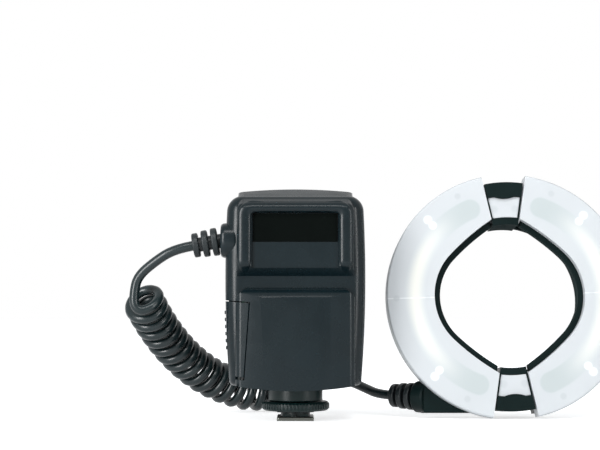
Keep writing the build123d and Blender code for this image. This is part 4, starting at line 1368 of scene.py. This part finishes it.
@dataclass
class RingHead:
    """The ring head with its two lit halves, centre base, horn and releases.

    Attributes:
        lip_depth: How much of the lip's depth is kept, in millimetres.
        lip_front: Where the lip's face lies along the head's own Y.
        squeeze: The share of its depth that the rest of the lip keeps.
        inward: How squarely a wall has to face the opening to be an inner wall, from 0 to 1.
    """

    lip_depth: float = 2.6
    lip_front: float = -8.5
    squeeze: float = 0.02
    inward: float = 0.4

    def shorten_lip(self, work: bmesh.types.BMesh) -> None:
        """Brings the lip's rear end up to just behind its face, so that its inner wall is hardly seen.

        Args:
            work: The lip's mesh.
        """
        back = RING_TURN.inverted()
        limit = (self.lip_front + self.lip_depth) * MM
        for vert in work.verts:
            local = back @ (vert.co - RING_PLACE)
            if local.y > limit:
                local.y = limit + (local.y - limit) * self.squeeze
                vert.co = RING_TURN @ local + RING_PLACE

    def dull_walls(self, piece: bpy.types.Object, dresser: Dresser) -> None:
        """Gives the walls that face the opening a dull inner finish.

        Args:
            piece: The ring piece.
            dresser: Holds the materials.
        """
        back = RING_TURN.inverted()
        piece.data.materials.append(dresser.material(MATT))
        for face in piece.data.polygons:
            local = back @ (face.center - RING_PLACE)
            facing = back @ face.normal
            outward = facing.x * local.x + facing.z * local.z
            inner = outward < -self.inward * math.hypot(local.x, local.z)
            if inner and facing.y > -self.inward:
                face.material_index = 1

    def build(self, dresser: Dresser) -> None:
        """Dresses every node of the ring.

        Args:
            dresser: Holds the materials.
        """
        for side in ("left", "right"):
            self.dull_walls(dresser.refine(f"{side}_rear_tub", BLACK, 0.3), dresser)
            self.dull_walls(dresser.refine(f"{side}_lip", BLACK, 0.3, shape=self.shorten_lip), dresser)
            dresser.refine(f"{side}_diffuser", FROST, 0.4)
            dresser.paint(f"{side}_reflector", MIRROR)
            dresser.paint(f"{side}_flash_tube", LAMP)
            dresser.paint(f"{side}_trigger_board", BOARD)
        self.dull_walls(dresser.refine("ring_base", BLACK, 0.3), dresser)
        dresser.refine("cable_horn", BLACK, 0.4)
        for end in ("top", "bottom"):
            dresser.refine(f"{end}_led_window", PANE, 0.25)
            dresser.refine(f"{end}_release_button", BLACK, 0.3)
        dresser.paint("slide_rails", STEEL)
        dresser.paint("led_boards", BOARD)
        dresser.paint("head_screws", STEEL)


def corners(box: tuple[Vector, Vector]) -> list[list[float]]:
    """Turns a box's two corners into plain lists of numbers."""
    return [list(map(float, corner)) for corner in box]


def main() -> None:
    """Builds the parts in order and reports each piece."""
    logging.basicConfig(level=logging.INFO, format="%(name)s: %(message)s")
    dresser = Dresser()
    Studio().build()
    CurlyCord().build(dresser)
    ControlUnit().build(dresser)
    RingHead().build(dresser)
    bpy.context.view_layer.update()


if __name__ == "__main__":
    main()
